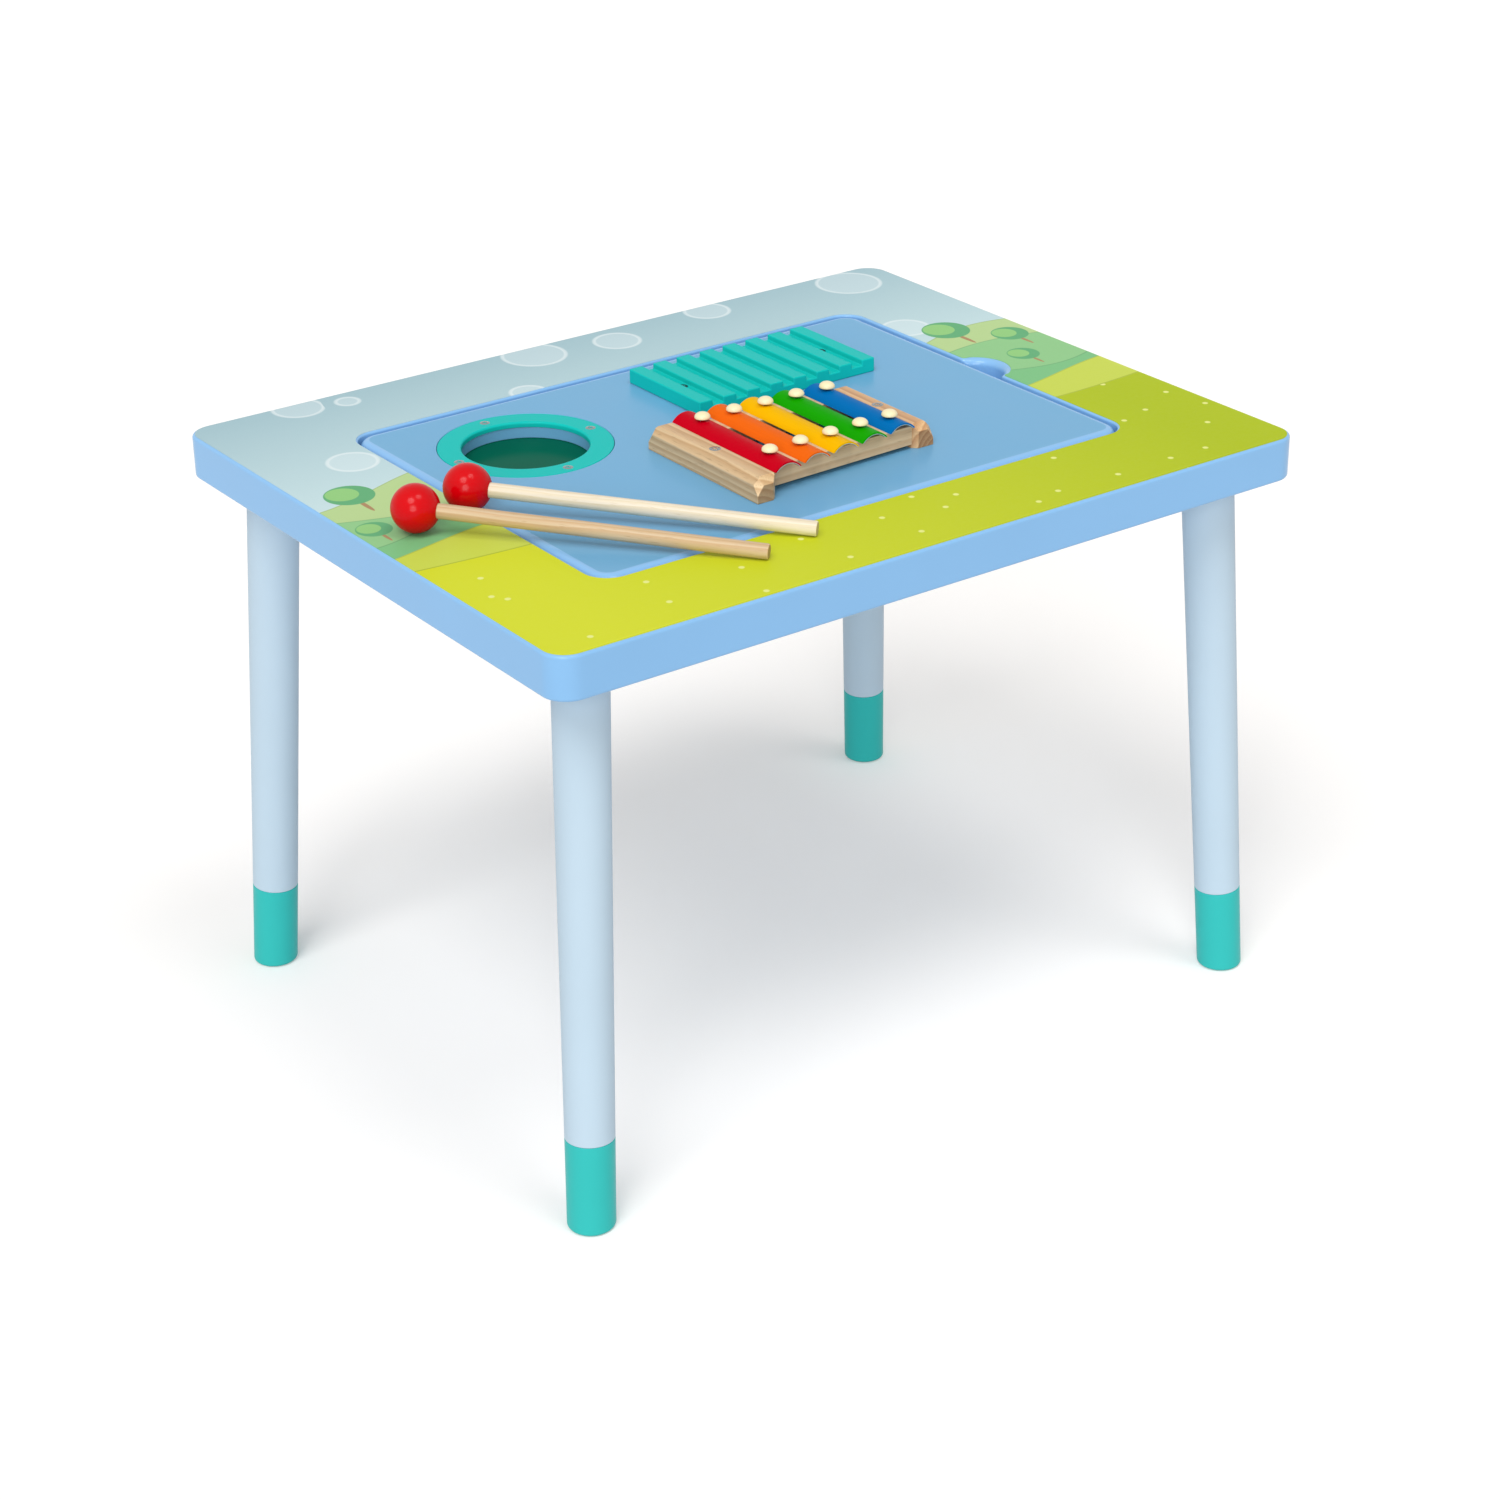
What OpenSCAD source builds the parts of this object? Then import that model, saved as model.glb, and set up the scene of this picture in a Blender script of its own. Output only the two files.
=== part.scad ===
// Sensory play table for small children: a rounded top frame on four turned legs, a lift-out bin in
// its opening, a lift-off music lid with a drum, a ribbed scraper and a xylophone, and two mallets.
// Millimetres, +Z up. The origin is on the floor under the middle of the table. +X runs along the
// long side, and -Y is the front, where the scale of the xylophone runs from left to right.

/* [Table top] */
// Length of the top frame along X
table_l = 600; // [560:5:680]
// Width of the top frame along Y
table_w = 472; // [440:2:540]
// Height of the printed face above the floor
table_h = 415; // [340:5:480]
// Thickness of the top frame
frame_t = 30; // [27:0.5:40]
// Plan radius of the four outer corners
corner_r = 18; // [12:1:30]
// Rounding of the outer top and bottom edges
edge_r = 2; // [1:0.5:4]
// Thickness of the printed film on the frame
film_t = 0.3; // [0.2:0.1:0.8]

/* [Opening] */
// Width of the frame on the two short sides, from the outside to the opening
margin_x = 84.5; // [75:0.5:95]
// Width of the frame on the two long sides, from the outside to the opening
margin_y = 81; // [72:0.5:90]
// Plan radius of the corners of the opening
opening_r = 16.5; // [12:0.5:30]
// Rounding of the top edge of the opening
rim_r = 1.5; // [1:0.5:4]
// Width of the ledge that carries the bin and the lid
ledge_w = 12; // [9:0.5:16]
// Radius of the finger notch below its rounded edge
notch_r = 20; // [16:1:26]
// How far the finger notch reaches into the frame
notch_d = 14.5; // [10:0.5:20]
// Rounding of the top edge of the finger notch
notch_rim_r = 5; // [3:0.5:7]

/* [Bin] */
// Depth inside the bin
bin_depth = 62; // [40:1:90]
// Wall and floor of the bin
bin_wall = 2.5; // [2:0.1:4]
// Thickness of the flange that hangs on the ledge
flange_t = 3; // [2:0.5:5]
// Plan radius inside the corners of the bin
bin_r = 22; // [15:1:30]
// Rounding inside, where the walls of the bin meet its floor
bin_floor_r = 9; // [4:0.5:14]

/* [Lid] */
// Thickness of the lid panel
lid_t = 12; // [10:0.5:15]
// Gap between the lid and the opening, all round
lid_gap = 1.5; // [1:0.1:3]
// Rounding of the top edge of the lid
lid_edge_r = 6; // [4:0.5:7]

/* [Drum] */
// From the left edge of the lid to the middle of the drum
drum_from_left = 87; // [77:1:95]
// From the back edge of the lid to the middle of the drum
drum_from_back = 83.5; // [75:0.5:95]
// Outer diameter of the trim ring
ring_d = 120; // [110:1:130]
// Width of the trim ring
ring_w = 16.5; // [14:0.5:20]
// Thickness of the trim ring
ring_t = 4; // [3:0.5:5]
// Thickness of the drum skin
skin_t = 1; // [0.6:0.1:2]
// Thickness of the clamp ring under the skin
clamp_t = 5; // [4:0.5:8]
// Diameter of the drum screws
drum_screw_d = 3.5; // [3:0.5:4]
// Number of drum screws
drum_screws_n = 4; // [3:1:8]
// How far the drum screws sit outside the middle of the trim ring
drum_screw_out = 0.8; // [0:0.1:1.5]
// How far the trim ring reaches inwards past the hole in the lid
ring_lip = 0.5; // [0.2:0.1:1]
// How far the skin and the clamp ring stop short of the trim ring's outside
skin_inset = 1; // [0.5:0.1:2]

/* [Scraper] */
// Length of the ribbed block along X
scraper_l = 153; // [140:1:160]
// Width of the ribbed block along Y
scraper_w = 87; // [75:1:95]
// Height of the ribs above the lid
scraper_h = 10.5; // [9:0.5:14]
// Depth of the grooves
groove_d = 4; // [3:0.5:5]
// Width of a rib
rib_w = 11.2; // [9:0.2:12]
// Number of ribs
rib_n = 8; // [6:1:9]
// Chamfer along the top edges of the ribs
rib_chamfer = 0.8; // [0.4:0.1:1.5]
// From the right edge of the lid to the block
scraper_from_right = 64; // [52:1:74]
// From the back edge of the lid to the block
scraper_from_back = 25.5; // [17:0.5:28]

/* [Xylophone frame] */
// From the right edge of the lid to the right rail
xylo_from_right = 122.5; // [112:0.5:132]
// From the front edge of the lid to the middle line of the xylophone
xylo_from_front = 103; // [96:0.5:108]
// Length of the left rail
left_rail_l = 125; // [118:1:134]
// Length of the right rail
right_rail_l = 95; // [92:1:106]
// Width of a rail
rail_w = 16.5; // [14:0.5:20]
// Height of a rail
rail_h = 17; // [15:0.5:20]
// Chamfer along the outer top edges and across the ends of the rails
rail_chamfer = 5; // [3:0.5:6]
// Chamfer down the four upright corners of a rail
rail_corner = 3.6; // [2:0.2:5]
// Width of the two cross bars
bar_w = 22; // [18:0.5:23]
// Height of the two cross bars
bar_h = 13.5; // [11:0.5:14]
// Gap between the lid and the cross bars
bar_lift = 3; // [2:0.5:4]
// Length of the tenons at the ends of the bars
tenon_l = 5.5; // [4:0.5:6]
// Step from the sides of a bar to its tenon
tenon_shoulder = 2; // [1.5:0.1:2.5]

/* [Xylophone keys] */
// Spacing of the keys
key_pitch = 25.5; // [23:0.1:27]
// Width of a key across its arch
key_w = 21.4; // [19:0.2:22]
// Outer radius of the arch of a key
key_r = 13.5; // [12.5:0.5:16]
// Thickness of the sheet that the keys are pressed from
key_t = 1.5; // [1:0.1:2]
// Length of the longest key
key_long = 117; // [112:1:124]
// Length of the shortest key
key_short = 98; // [94:1:104]
// From a rail to the middle of the key beside it
key_end_space = 11.2; // [11.1:0.1:14]
// Distance between the two pins of the longest key
pins_long = 76; // [70:0.5:82]
// Distance between the two pins of the shortest key
pins_short = 69; // [64:0.5:72]
// Diameter of a pin
pin_d = 2.6; // [2:0.1:3.2]
// How deep a pin sits in its bar
pin_in_bar = 7; // [5:0.5:7.5]
// Radial play of a key round its pins
key_hole_play = 1; // [0.6:0.1:1.4]
// Diameter of a pin cap
cap_d = 11.6; // [10:0.2:13]
// Height of a pin cap
cap_h = 4.6; // [4:0.1:6]
// How far a key can rise before it meets its caps
key_play = 1.5; // [1:0.1:2.5]

/* [Mallets] */
// Diameter of a mallet head
head_d = 32; // [28:0.5:36]
// Diameter of a mallet stick
stick_d = 10; // [8:0.5:12]
// From the middle of the head to the free end of the stick
mallet_l = 229; // [215:1:240]
// How deep the stick sits in the head, past its surface
stick_socket = 20; // [12:0.5:24]
// From the left side of the table to the head of the front mallet
front_head_from_left = 35.5; // [28:0.5:45]
// From the front of the table to the head of the front mallet
front_head_from_front = 217.5; // [205:0.5:225]
// From the left side of the table to the head of the rear mallet
rear_head_from_left = 80; // [75:0.5:83]
// From the front of the table to the head of the rear mallet
rear_head_from_front = 227.5; // [218:0.5:240]
// Heading of the front stick from +X towards +Y
front_angle = -48.7; // [-52:0.1:-46]
// Heading of the rear stick from +X towards +Y
rear_angle = -48.2; // [-52:0.1:-46]

/* [Legs] */
// Diameter of a leg at the table top
leg_top_d = 36.5; // [32:0.5:42]
// Diameter of a leg at the floor
leg_floor_d = 32; // [28:0.5:36]
// From the outer sides of the table to a leg's axis, at the top
leg_inset = 43.5; // [36:0.5:52]
// How far a leg leans outwards along X and along Y, at the floor
leg_splay = 20.5; // [0:0.5:30]
// Length of a coloured foot
foot_h = 64; // [45:1:80]
// Rounding of the bottom edge of a foot
foot_edge_r = 2.5; // [1.5:0.5:4]
// Diameter of the spigot that the foot is pushed on
spigot_d = 20; // [16:0.5:24]
// Length of that spigot
spigot_l = 38; // [25:1:45]
// Diameter of a leg bolt
bolt_d = 8; // [6:1:10]
// Length of a leg bolt inside the leg
bolt_in_leg = 40; // [30:1:60]
// Diameter of the threaded insert in the table top
insert_d = 13; // [12:0.5:16]
// Length of the threaded insert
insert_l = 18; // [14:0.5:20]

/* [Fits] */
// Radial clearance of a pin, screw or spigot in its hole
fit = 0.15; // [0.1:0.05:0.4]
// Clearance between parts that lie on each other and lift off
seat_gap = 0.2; // [0.1:0.05:0.4]
// Side clearance of the bin in the frame
bin_gap = 1.5; // [1:0.1:3]
// Diameter of the wood screws that hold the instruments
screw_d = 4; // [3:0.5:4.5]

/* [Hidden] */
$fn = 96;
over = 1;
frame_top = table_h - film_t;
frame_bottom = frame_top - frame_t;
opening_l = table_l - 2 * margin_x;
opening_w = table_w - 2 * margin_y;
lid_l = opening_l - 2 * lid_gap;
lid_w = opening_w - 2 * lid_gap;
lid_r = opening_r - lid_gap;
lid_bottom = frame_top - lid_t;
flange_top = lid_bottom - seat_gap;
flange_bottom = flange_top - flange_t;
ledge_z = flange_bottom - seat_gap;
through_l = opening_l - 2 * ledge_w;
through_w = opening_w - 2 * ledge_w;
through_r = bin_r + bin_wall + bin_gap;
bin_l = through_l - 2 * bin_gap - 2 * bin_wall;
bin_w = through_w - 2 * bin_gap - 2 * bin_wall;
bin_floor = flange_top - bin_depth;
notch_x = opening_l / 2 + notch_d - notch_r;

drum_x = -lid_l / 2 + drum_from_left;
drum_y = lid_w / 2 - drum_from_back;
ring_id = ring_d - 2 * ring_w;
drum_hole_d = ring_id + 2 * ring_lip;
drum_bolt_r = (ring_d - ring_w) / 2 + drum_screw_out;
skin_d = ring_d - 2 * skin_inset;
skin_top = lid_bottom;
clamp_top = skin_top - skin_t;

scraper_x = lid_l / 2 - scraper_from_right - scraper_l / 2;
scraper_y = lid_w / 2 - scraper_from_back - scraper_w / 2;
groove_w = (scraper_l - rib_n * rib_w) / (rib_n - 1);
groove_pitch = rib_w + groove_w;
scraper_screw_x = (scraper_l - groove_w) / 2 - rib_w;
scraper_base_h = scraper_h - groove_d;
screw_floor = 2;
screw_in_lid = lid_t - screw_floor - over;

key_n = 5;
keys_span = (key_n - 1) * key_pitch;
rails_inside = keys_span + 2 * key_end_space;
rail_screw_x = (rails_inside + rail_w - rail_chamfer) / 2;
xylo_x = lid_l / 2 - xylo_from_right - rail_w - rails_inside / 2;
xylo_y = -lid_w / 2 + xylo_from_front;
bar_top = frame_top + bar_lift + bar_h;
key_bottom = bar_top + seat_gap / 2;
key_axis_drop = sqrt(key_r * key_r - key_w * key_w / 4);
key_top = key_bottom + key_r - key_axis_drop;
key_hole_d = pin_d + 2 * key_hole_play;
cap_bottom = key_top + key_play;
cap_socket = cap_h / 2;

head_r = head_d / 2;
stick_r = stick_d / 2;
mallet_tilt = asin((head_r - stick_r) / mallet_l);
mallet_z = table_h + head_r + seat_gap;

leg_x = table_l / 2 - leg_inset;
leg_y = table_w / 2 - leg_inset;
leg_lean = atan(leg_splay / frame_bottom);
leg_tilt = atan(sqrt(2) * leg_splay / frame_bottom);
leg_len = frame_bottom / cos(leg_tilt);
leg_taper = (leg_top_d - leg_floor_d) / 2 / leg_len;
leg_trim = over + leg_top_d * sin(leg_tilt);
foot_top_r = leg_floor_d / 2 + leg_taper * foot_h;
foot_trim = over + (leg_floor_d / 2 - foot_edge_r) * sin(leg_tilt);
foot_gap = 0.1;
insert_sink = insert_d / 2 * sin(leg_tilt) + fit;

blue = "#7FB0E6";
pale_blue = "#C6DDEE";
lid_blue = "#7BACDC";
teal = "#3FC6BC";
meadow = "#C9D870";
bin_white = "#DCE9F3";
deep_green = "#0B6B5C";
wood = "#DCC09A";
pale_wood = "#EAD9BC";
steel = "#C9CCCE";
cream = "#F3E6BE";
red = "#D51224";
key_colours = ["#C8102E", "#F3701E", "#FBB90F", "#2FA12C", "#0A63B8"];

LEG_SIDES = [[-1, -1], [1, -1], [-1, 1], [1, 1]];

// A straight-sided slab with round plan corners, standing on z0
module plan_slab(l, w, r, z0, h) {
    translate([-l / 2, -w / 2 + r, z0]) cube([l, w - 2 * r, h]);
    translate([-l / 2 + r, -w / 2, z0]) cube([l - 2 * r, w, h]);
    for (sx = [-1, 1], sy = [-1, 1])
        translate([sx * (l / 2 - r), sy * (w / 2 - r), z0]) cylinder(r = r, h = h);
}

// Half of a slab's cross-section: flat, with its outer corner rounded above and below
module half_section(half, h, top_r, bottom_r) {
    square([half - max(top_r, bottom_r), h]);
    translate([0, bottom_r]) square([half, h - top_r - bottom_r]);
    translate([half - bottom_r, bottom_r]) rotate(-90) disc_corner(bottom_r);
    translate([half - top_r, h - top_r]) disc_corner(top_r);
    if (top_r < bottom_r) translate([0, bottom_r]) square([half - top_r, h - bottom_r]);
    if (bottom_r < top_r) square([half - bottom_r, h - top_r]);
}

// The upper right part of a disc, a little more than a quarter so that it overlaps its neighbours
module disc_corner(r) {
    intersection() {
        circle(r = r);
        translate([-r / 3, -r / 3]) square(2 * r);
    }
}

// Half of a cutter's cross-section, which flares at height h to leave a rounded edge of radius r
module flared_section(half, h, r) {
    square([half, h + over]);
    translate([half, h - r]) difference() {
        square([r, r + over]);
        translate([r, 0]) circle(r = r);
    }
}

// Carries a half section round a rectangle with round corners: straight stretches and four corners.
// Its children are the section for the long sides, for the short sides and for the corners.
module carried_slab(l, w, r, z0) {
    for (side = [0, 1]) {
        translate([0, 0, z0]) rotate([90, 0, 90 + 180 * side])
            linear_extrude(height = l - 2 * r, center = true) children(0);
        translate([0, 0, z0]) rotate([90, 0, 180 * side])
            linear_extrude(height = w - 2 * r, center = true) children(1);
    }
    for (sx = [-1, 1], sy = [-1, 1])
        translate([sx * (l / 2 - r), sy * (w / 2 - r), z0]) rotate_extrude() children(2);
}

// A slab whose top and bottom outer edges are rounded
module soft_slab(l, w, r, z0, h, top_r, bottom_r) {
    carried_slab(l, w, r, z0) {
        half_section(w / 2, h, top_r, bottom_r);
        half_section(l / 2, h, top_r, bottom_r);
        half_section(r, h, top_r, bottom_r);
    }
}

// A pocket that leaves a rounded edge of radius flare at its top
module flared_pocket(l, w, r, z0, h, flare) {
    carried_slab(l, w, r, z0) {
        flared_section(w / 2, h, flare);
        flared_section(l / 2, h, flare);
        flared_section(r, h, flare);
    }
}

// An outline centred on X and standing on Y = 0, with its two top corners cut off
module clipped_outline(w, h, clip) {
    polygon([[-w / 2, 0], [w / 2, 0], [w / 2, h - clip],
             [w / 2 - clip, h], [-w / 2 + clip, h], [-w / 2, h - clip]]);
}

// Puts a leg's own axis in place: its origin on the seat under the frame, running down along -Z
module at_leg(side) {
    translate([side[0] * leg_x, side[1] * leg_y, frame_bottom])
        rotate([side[1] * leg_lean, -side[0] * leg_lean, 0]) children();
}

// Height of a countersunk head, which is twice as wide as its screw
function head_h(d) = 0.55 * d;

// A countersunk screw with its head's face at the origin, pointing down
module countersunk_screw(d, length) {
    translate([0, 0, -length]) cylinder(d = d, h = length);
    translate([0, 0, -head_h(d)]) cylinder(d1 = d, d2 = 2 * d, h = head_h(d));
}

// The hole that such a screw needs, open at the top
module countersunk_hole(d, depth) {
    hole_d = d + 2 * fit;
    mouth_d = 2 * d + 2 * fit;
    translate([0, 0, -depth]) cylinder(d = hole_d, h = depth + over);
    translate([0, 0, -head_h(d)]) cylinder(d1 = hole_d, d2 = mouth_d, h = head_h(d));
    cylinder(d = mouth_d, h = over);
}

// Table

module top_frame() {
    pocket_h = frame_top - ledge_z;
    color(blue) difference() {
        soft_slab(table_l, table_w, corner_r, frame_bottom, frame_t, edge_r, edge_r);
        flared_pocket(opening_l, opening_w, opening_r, ledge_z, pocket_h, rim_r);
        plan_slab(through_l, through_w, through_r, frame_bottom - over, frame_t);
        translate([notch_x, 0, ledge_z]) rotate_extrude() flared_section(notch_r, pocket_h, notch_rim_r);
        for (side = LEG_SIDES) at_leg(side)
            translate([0, 0, -over]) cylinder(d = insert_d + 2 * fit, h = insert_l + over + fit);
    }
}

module top_print() {
    color(meadow) difference() {
        plan_slab(table_l - 2 * edge_r, table_w - 2 * edge_r, corner_r - edge_r, frame_top, film_t);
        plan_slab(opening_l + 2 * rim_r, opening_w + 2 * rim_r, opening_r + rim_r,
                  frame_top - over, film_t + 2 * over);
        translate([notch_x, 0, frame_top - over])
            cylinder(r = notch_r + notch_rim_r, h = film_t + 2 * over);
    }
}

module leg_inserts() {
    color(steel) for (side = LEG_SIDES) at_leg(side) difference() {
        translate([0, 0, insert_sink]) cylinder(d = insert_d, h = insert_l - insert_sink);
        cylinder(d = bolt_d + 2 * fit, h = insert_l + over);
    }
}

module leg_bolts() {
    color(steel) for (side = LEG_SIDES) at_leg(side)
        translate([0, 0, -bolt_in_leg + fit]) cylinder(d = bolt_d, h = bolt_in_leg + insert_l - 2 * fit);
}

// A turned leg down to its foot, with the spigot below and the bolt hole in its top
module leg(side) {
    shoulder = -leg_len + foot_h + foot_gap;
    color(pale_blue) difference() {
        at_leg(side) {
            translate([0, 0, shoulder]) cylinder(
                r1 = foot_top_r, r2 = leg_top_d / 2 + leg_taper * leg_trim, h = leg_trim - shoulder);
            translate([0, 0, shoulder - spigot_l]) cylinder(d = spigot_d, h = spigot_l + over);
        }
        at_leg(side) translate([0, 0, -bolt_in_leg])
            cylinder(d = bolt_d + 2 * fit, h = bolt_in_leg + 2 * leg_trim);
        plan_slab(table_l, table_w, corner_r, frame_bottom, frame_t);
    }
}

// A foot pushed on the spigot, flush with the leg, its face cut level with the floor
module foot(side) {
    floor_r = leg_floor_d / 2;
    color(teal) difference() {
        at_leg(side) translate([0, 0, -leg_len - foot_trim]) difference() {
            rotate_extrude() {
                polygon([[0, foot_edge_r], [floor_r, foot_edge_r],
                         [foot_top_r, foot_h + foot_trim], [0, foot_h + foot_trim]]);
                square([floor_r - foot_edge_r, foot_edge_r + over]);
                translate([floor_r - foot_edge_r, foot_edge_r]) circle(r = foot_edge_r);
            }
            translate([0, 0, foot_h + foot_trim - spigot_l - foot_gap])
                cylinder(d = spigot_d + 2 * fit, h = spigot_l + 2 * over);
        }
        plan_slab(2 * table_l, 2 * table_w, corner_r, -frame_t, frame_t);
    }
}

module leg_front_left() { leg(LEG_SIDES[0]); }
module leg_front_right() { leg(LEG_SIDES[1]); }
module leg_back_left() { leg(LEG_SIDES[2]); }
module leg_back_right() { leg(LEG_SIDES[3]); }
module foot_front_left() { foot(LEG_SIDES[0]); }
module foot_front_right() { foot(LEG_SIDES[1]); }
module foot_back_left() { foot(LEG_SIDES[2]); }
module foot_back_right() { foot(LEG_SIDES[3]); }

// Bin

module sensory_bin() {
    outer_h = bin_depth + bin_wall;
    color(bin_white) difference() {
        union() {
            soft_slab(bin_l + 2 * bin_wall, bin_w + 2 * bin_wall, bin_r + bin_wall,
                      bin_floor - bin_wall, outer_h, flange_t / 3, bin_floor_r + bin_wall);
            plan_slab(lid_l, lid_w, lid_r, flange_bottom, flange_t);
        }
        soft_slab(bin_l, bin_w, bin_r, bin_floor, bin_depth + bin_floor_r, flange_t / 3, bin_floor_r);
    }
}

// Lid

module lid_panel() {
    color(lid_blue) difference() {
        soft_slab(lid_l, lid_w, lid_r, lid_bottom, lid_t, lid_edge_r, lid_edge_r / 3);
        translate([drum_x, drum_y, lid_bottom - over]) cylinder(d = drum_hole_d, h = lid_t + 2 * over);
        translate([drum_x, drum_y, frame_top - ring_t])
            cylinder(d = ring_d + 4 * fit, h = ring_t + over);
        at_drum_screws() translate([0, 0, -lid_t - over])
            cylinder(d = drum_screw_d + 2 * fit, h = lid_t + 2 * over);
        at_scraper_screws() lid_screw_hole();
        at_xylophone_screws() lid_screw_hole();
    }
}

// A blind hole in the lid for a screw of an instrument
module lid_screw_hole() {
    translate([0, 0, screw_floor - lid_t]) cylinder(d = screw_d + 2 * fit, h = lid_t);
}

// Drum

module at_drum_screws() {
    for (i = [0:drum_screws_n - 1]) rotate_about_drum(i * 360 / drum_screws_n) children();
}

module rotate_about_drum(angle) {
    translate([drum_x, drum_y, frame_top]) rotate([0, 0, angle]) translate([drum_bolt_r, 0, 0]) children();
}

module drum_ring() {
    inner_edge_r = ring_t / 2.5;
    color(teal) difference() {
        translate([drum_x, drum_y, frame_top - ring_t + fit]) rotate_extrude() {
            translate([ring_id / 2, 0]) square([ring_w, ring_t - fit - inner_edge_r]);
            translate([ring_id / 2 + inner_edge_r, 0]) square([ring_w - inner_edge_r, ring_t - fit]);
            translate([ring_id / 2 + inner_edge_r, ring_t - fit - inner_edge_r]) circle(r = inner_edge_r);
        }
        at_drum_screws() countersunk_hole(drum_screw_d, ring_t + over);
    }
}

module drum_skin() {
    color(deep_green) difference() {
        translate([drum_x, drum_y, clamp_top]) cylinder(d = skin_d, h = skin_t);
        at_drum_screws() translate([0, 0, -lid_t - skin_t - over])
            cylinder(d = drum_screw_d + 2 * fit, h = skin_t + 2 * over);
    }
}

module drum_clamp_ring() {
    color(teal) difference() {
        translate([drum_x, drum_y, clamp_top - clamp_t]) difference() {
            cylinder(d = skin_d, h = clamp_t);
            translate([0, 0, -over]) cylinder(d = drum_hole_d, h = clamp_t + 2 * over);
        }
        at_drum_screws() translate([0, 0, clamp_top - frame_top - clamp_t - over])
            cylinder(d = drum_screw_d + 2 * fit, h = clamp_t + 2 * over);
    }
}

module drum_screws() {
    color(steel) at_drum_screws() countersunk_screw(drum_screw_d, lid_t + skin_t + clamp_t - over);
}

// Scraper

module at_scraper_screws() {
    for (sx = [-1, 1]) translate([scraper_x + sx * scraper_screw_x, scraper_y, frame_top]) children();
}

// A block whose base and ribs are one outline, carried along Y, with a screw in each end groove
module scraper_block() {
    color(teal) difference() {
        translate([scraper_x, scraper_y, frame_top]) rotate([90, 0, 0])
            linear_extrude(height = scraper_w, center = true) {
                translate([-scraper_l / 2, 0]) square([scraper_l, scraper_base_h]);
                for (i = [0:rib_n - 1]) translate([(rib_w - scraper_l) / 2 + i * groove_pitch, 0])
                    clipped_outline(rib_w, scraper_h, rib_chamfer);
            }
        at_scraper_screws() translate([0, 0, scraper_base_h])
            countersunk_hole(screw_d, scraper_base_h + over);
    }
}

module scraper_screws() {
    color(steel) at_scraper_screws() translate([0, 0, scraper_base_h])
        countersunk_screw(screw_d, scraper_base_h + screw_in_lid);
}

// Xylophone

// Sideways distance of the pins from the middle line, at x measured from the middle of the keys
function pin_offset(x) = (pins_long + pins_short) / 4 - (pins_long - pins_short) / 2 * x / keys_span;
function key_x(i) = -keys_span / 2 + i * key_pitch;
function key_len(i) = key_long - (key_long - key_short) * i / (key_n - 1);

module at_xylophone() {
    translate([xylo_x, xylo_y, frame_top]) children();
}

module at_pins() {
    at_xylophone() for (i = [0:key_n - 1], side = [-1, 1])
        translate([key_x(i), side * pin_offset(key_x(i)), 0]) children();
}

module at_xylophone_screws() {
    at_xylophone() for (side = [-1, 1]) translate([side * rail_screw_x, 0, 0]) children();
}

// A rail chamfered along its outer top edge, across its ends and down its four upright corners
module rail(side, length) {
    outer = side * rail_w / 2;
    color(wood) difference() {
        translate([side * (rails_inside + rail_w) / 2, 0, 0]) intersection() {
            rotate([90, 0, 0]) linear_extrude(height = length, center = true)
                polygon([[-outer, 0], [outer, 0], [outer, rail_h - rail_chamfer],
                         [outer - side * rail_chamfer, rail_h], [-outer, rail_h]]);
            rotate([90, 0, 90]) linear_extrude(height = rail_w, center = true)
                clipped_outline(length, rail_h, rail_chamfer);
            linear_extrude(height = rail_h) for (turn = [0, 180])
                rotate(turn) clipped_outline(rail_w, length / 2, rail_corner);
        }
        for (row = [-1, 1]) bar_tenons(row, fit);
        translate([side * rail_screw_x, 0, rail_h]) countersunk_hole(screw_d, rail_h + over);
    }
}

module xylophone_left_rail() { at_xylophone() rail(-1, left_rail_l); }
module xylophone_right_rail() { at_xylophone() rail(1, right_rail_l); }

// Tenons at both ends of the front (-1) or back (1) bar, or their mortises with some clearance
module bar_tenons(row, clearance) {
    tenon_w = bar_w - 2 * tenon_shoulder + 2 * clearance;
    tenon_h = bar_h - 2 * tenon_shoulder + 2 * clearance;
    reach = tenon_l + clearance;
    for (end = [-1, 1])
        translate([end * (rails_inside / 2 + reach / 2 - over / 2),
                   row * pin_offset(end * rails_inside / 2), bar_lift + bar_h / 2])
            cube([reach + over, tenon_w, tenon_h], center = true);
}

// A cross bar that follows its row of pins from rail to rail, with the pin holes in its top
module bar(row) {
    half_l = rails_inside / 2;
    left_y = row * pin_offset(-half_l);
    right_y = row * pin_offset(half_l);
    color(wood) difference() {
        at_xylophone() {
            translate([0, 0, bar_lift]) linear_extrude(height = bar_h)
                polygon([[-half_l, left_y - bar_w / 2], [half_l, right_y - bar_w / 2],
                         [half_l, right_y + bar_w / 2], [-half_l, left_y + bar_w / 2]]);
            bar_tenons(row, 0);
        }
        at_pins() translate([0, 0, bar_lift + bar_h - pin_in_bar])
            cylinder(d = pin_d + 2 * fit, h = pin_in_bar + over);
    }
}

module xylophone_front_bar() { bar(-1); }
module xylophone_back_bar() { bar(1); }

module xylophone_screws() {
    color(steel) at_xylophone_screws() translate([0, 0, rail_h])
        countersunk_screw(screw_d, rail_h + screw_in_lid);
}

module key_pins() {
    color(steel) at_pins() translate([0, 0, bar_lift + bar_h - pin_in_bar + fit])
        cylinder(d = pin_d, h = cap_bottom + cap_socket - bar_top + pin_in_bar - 2 * fit);
}

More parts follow.
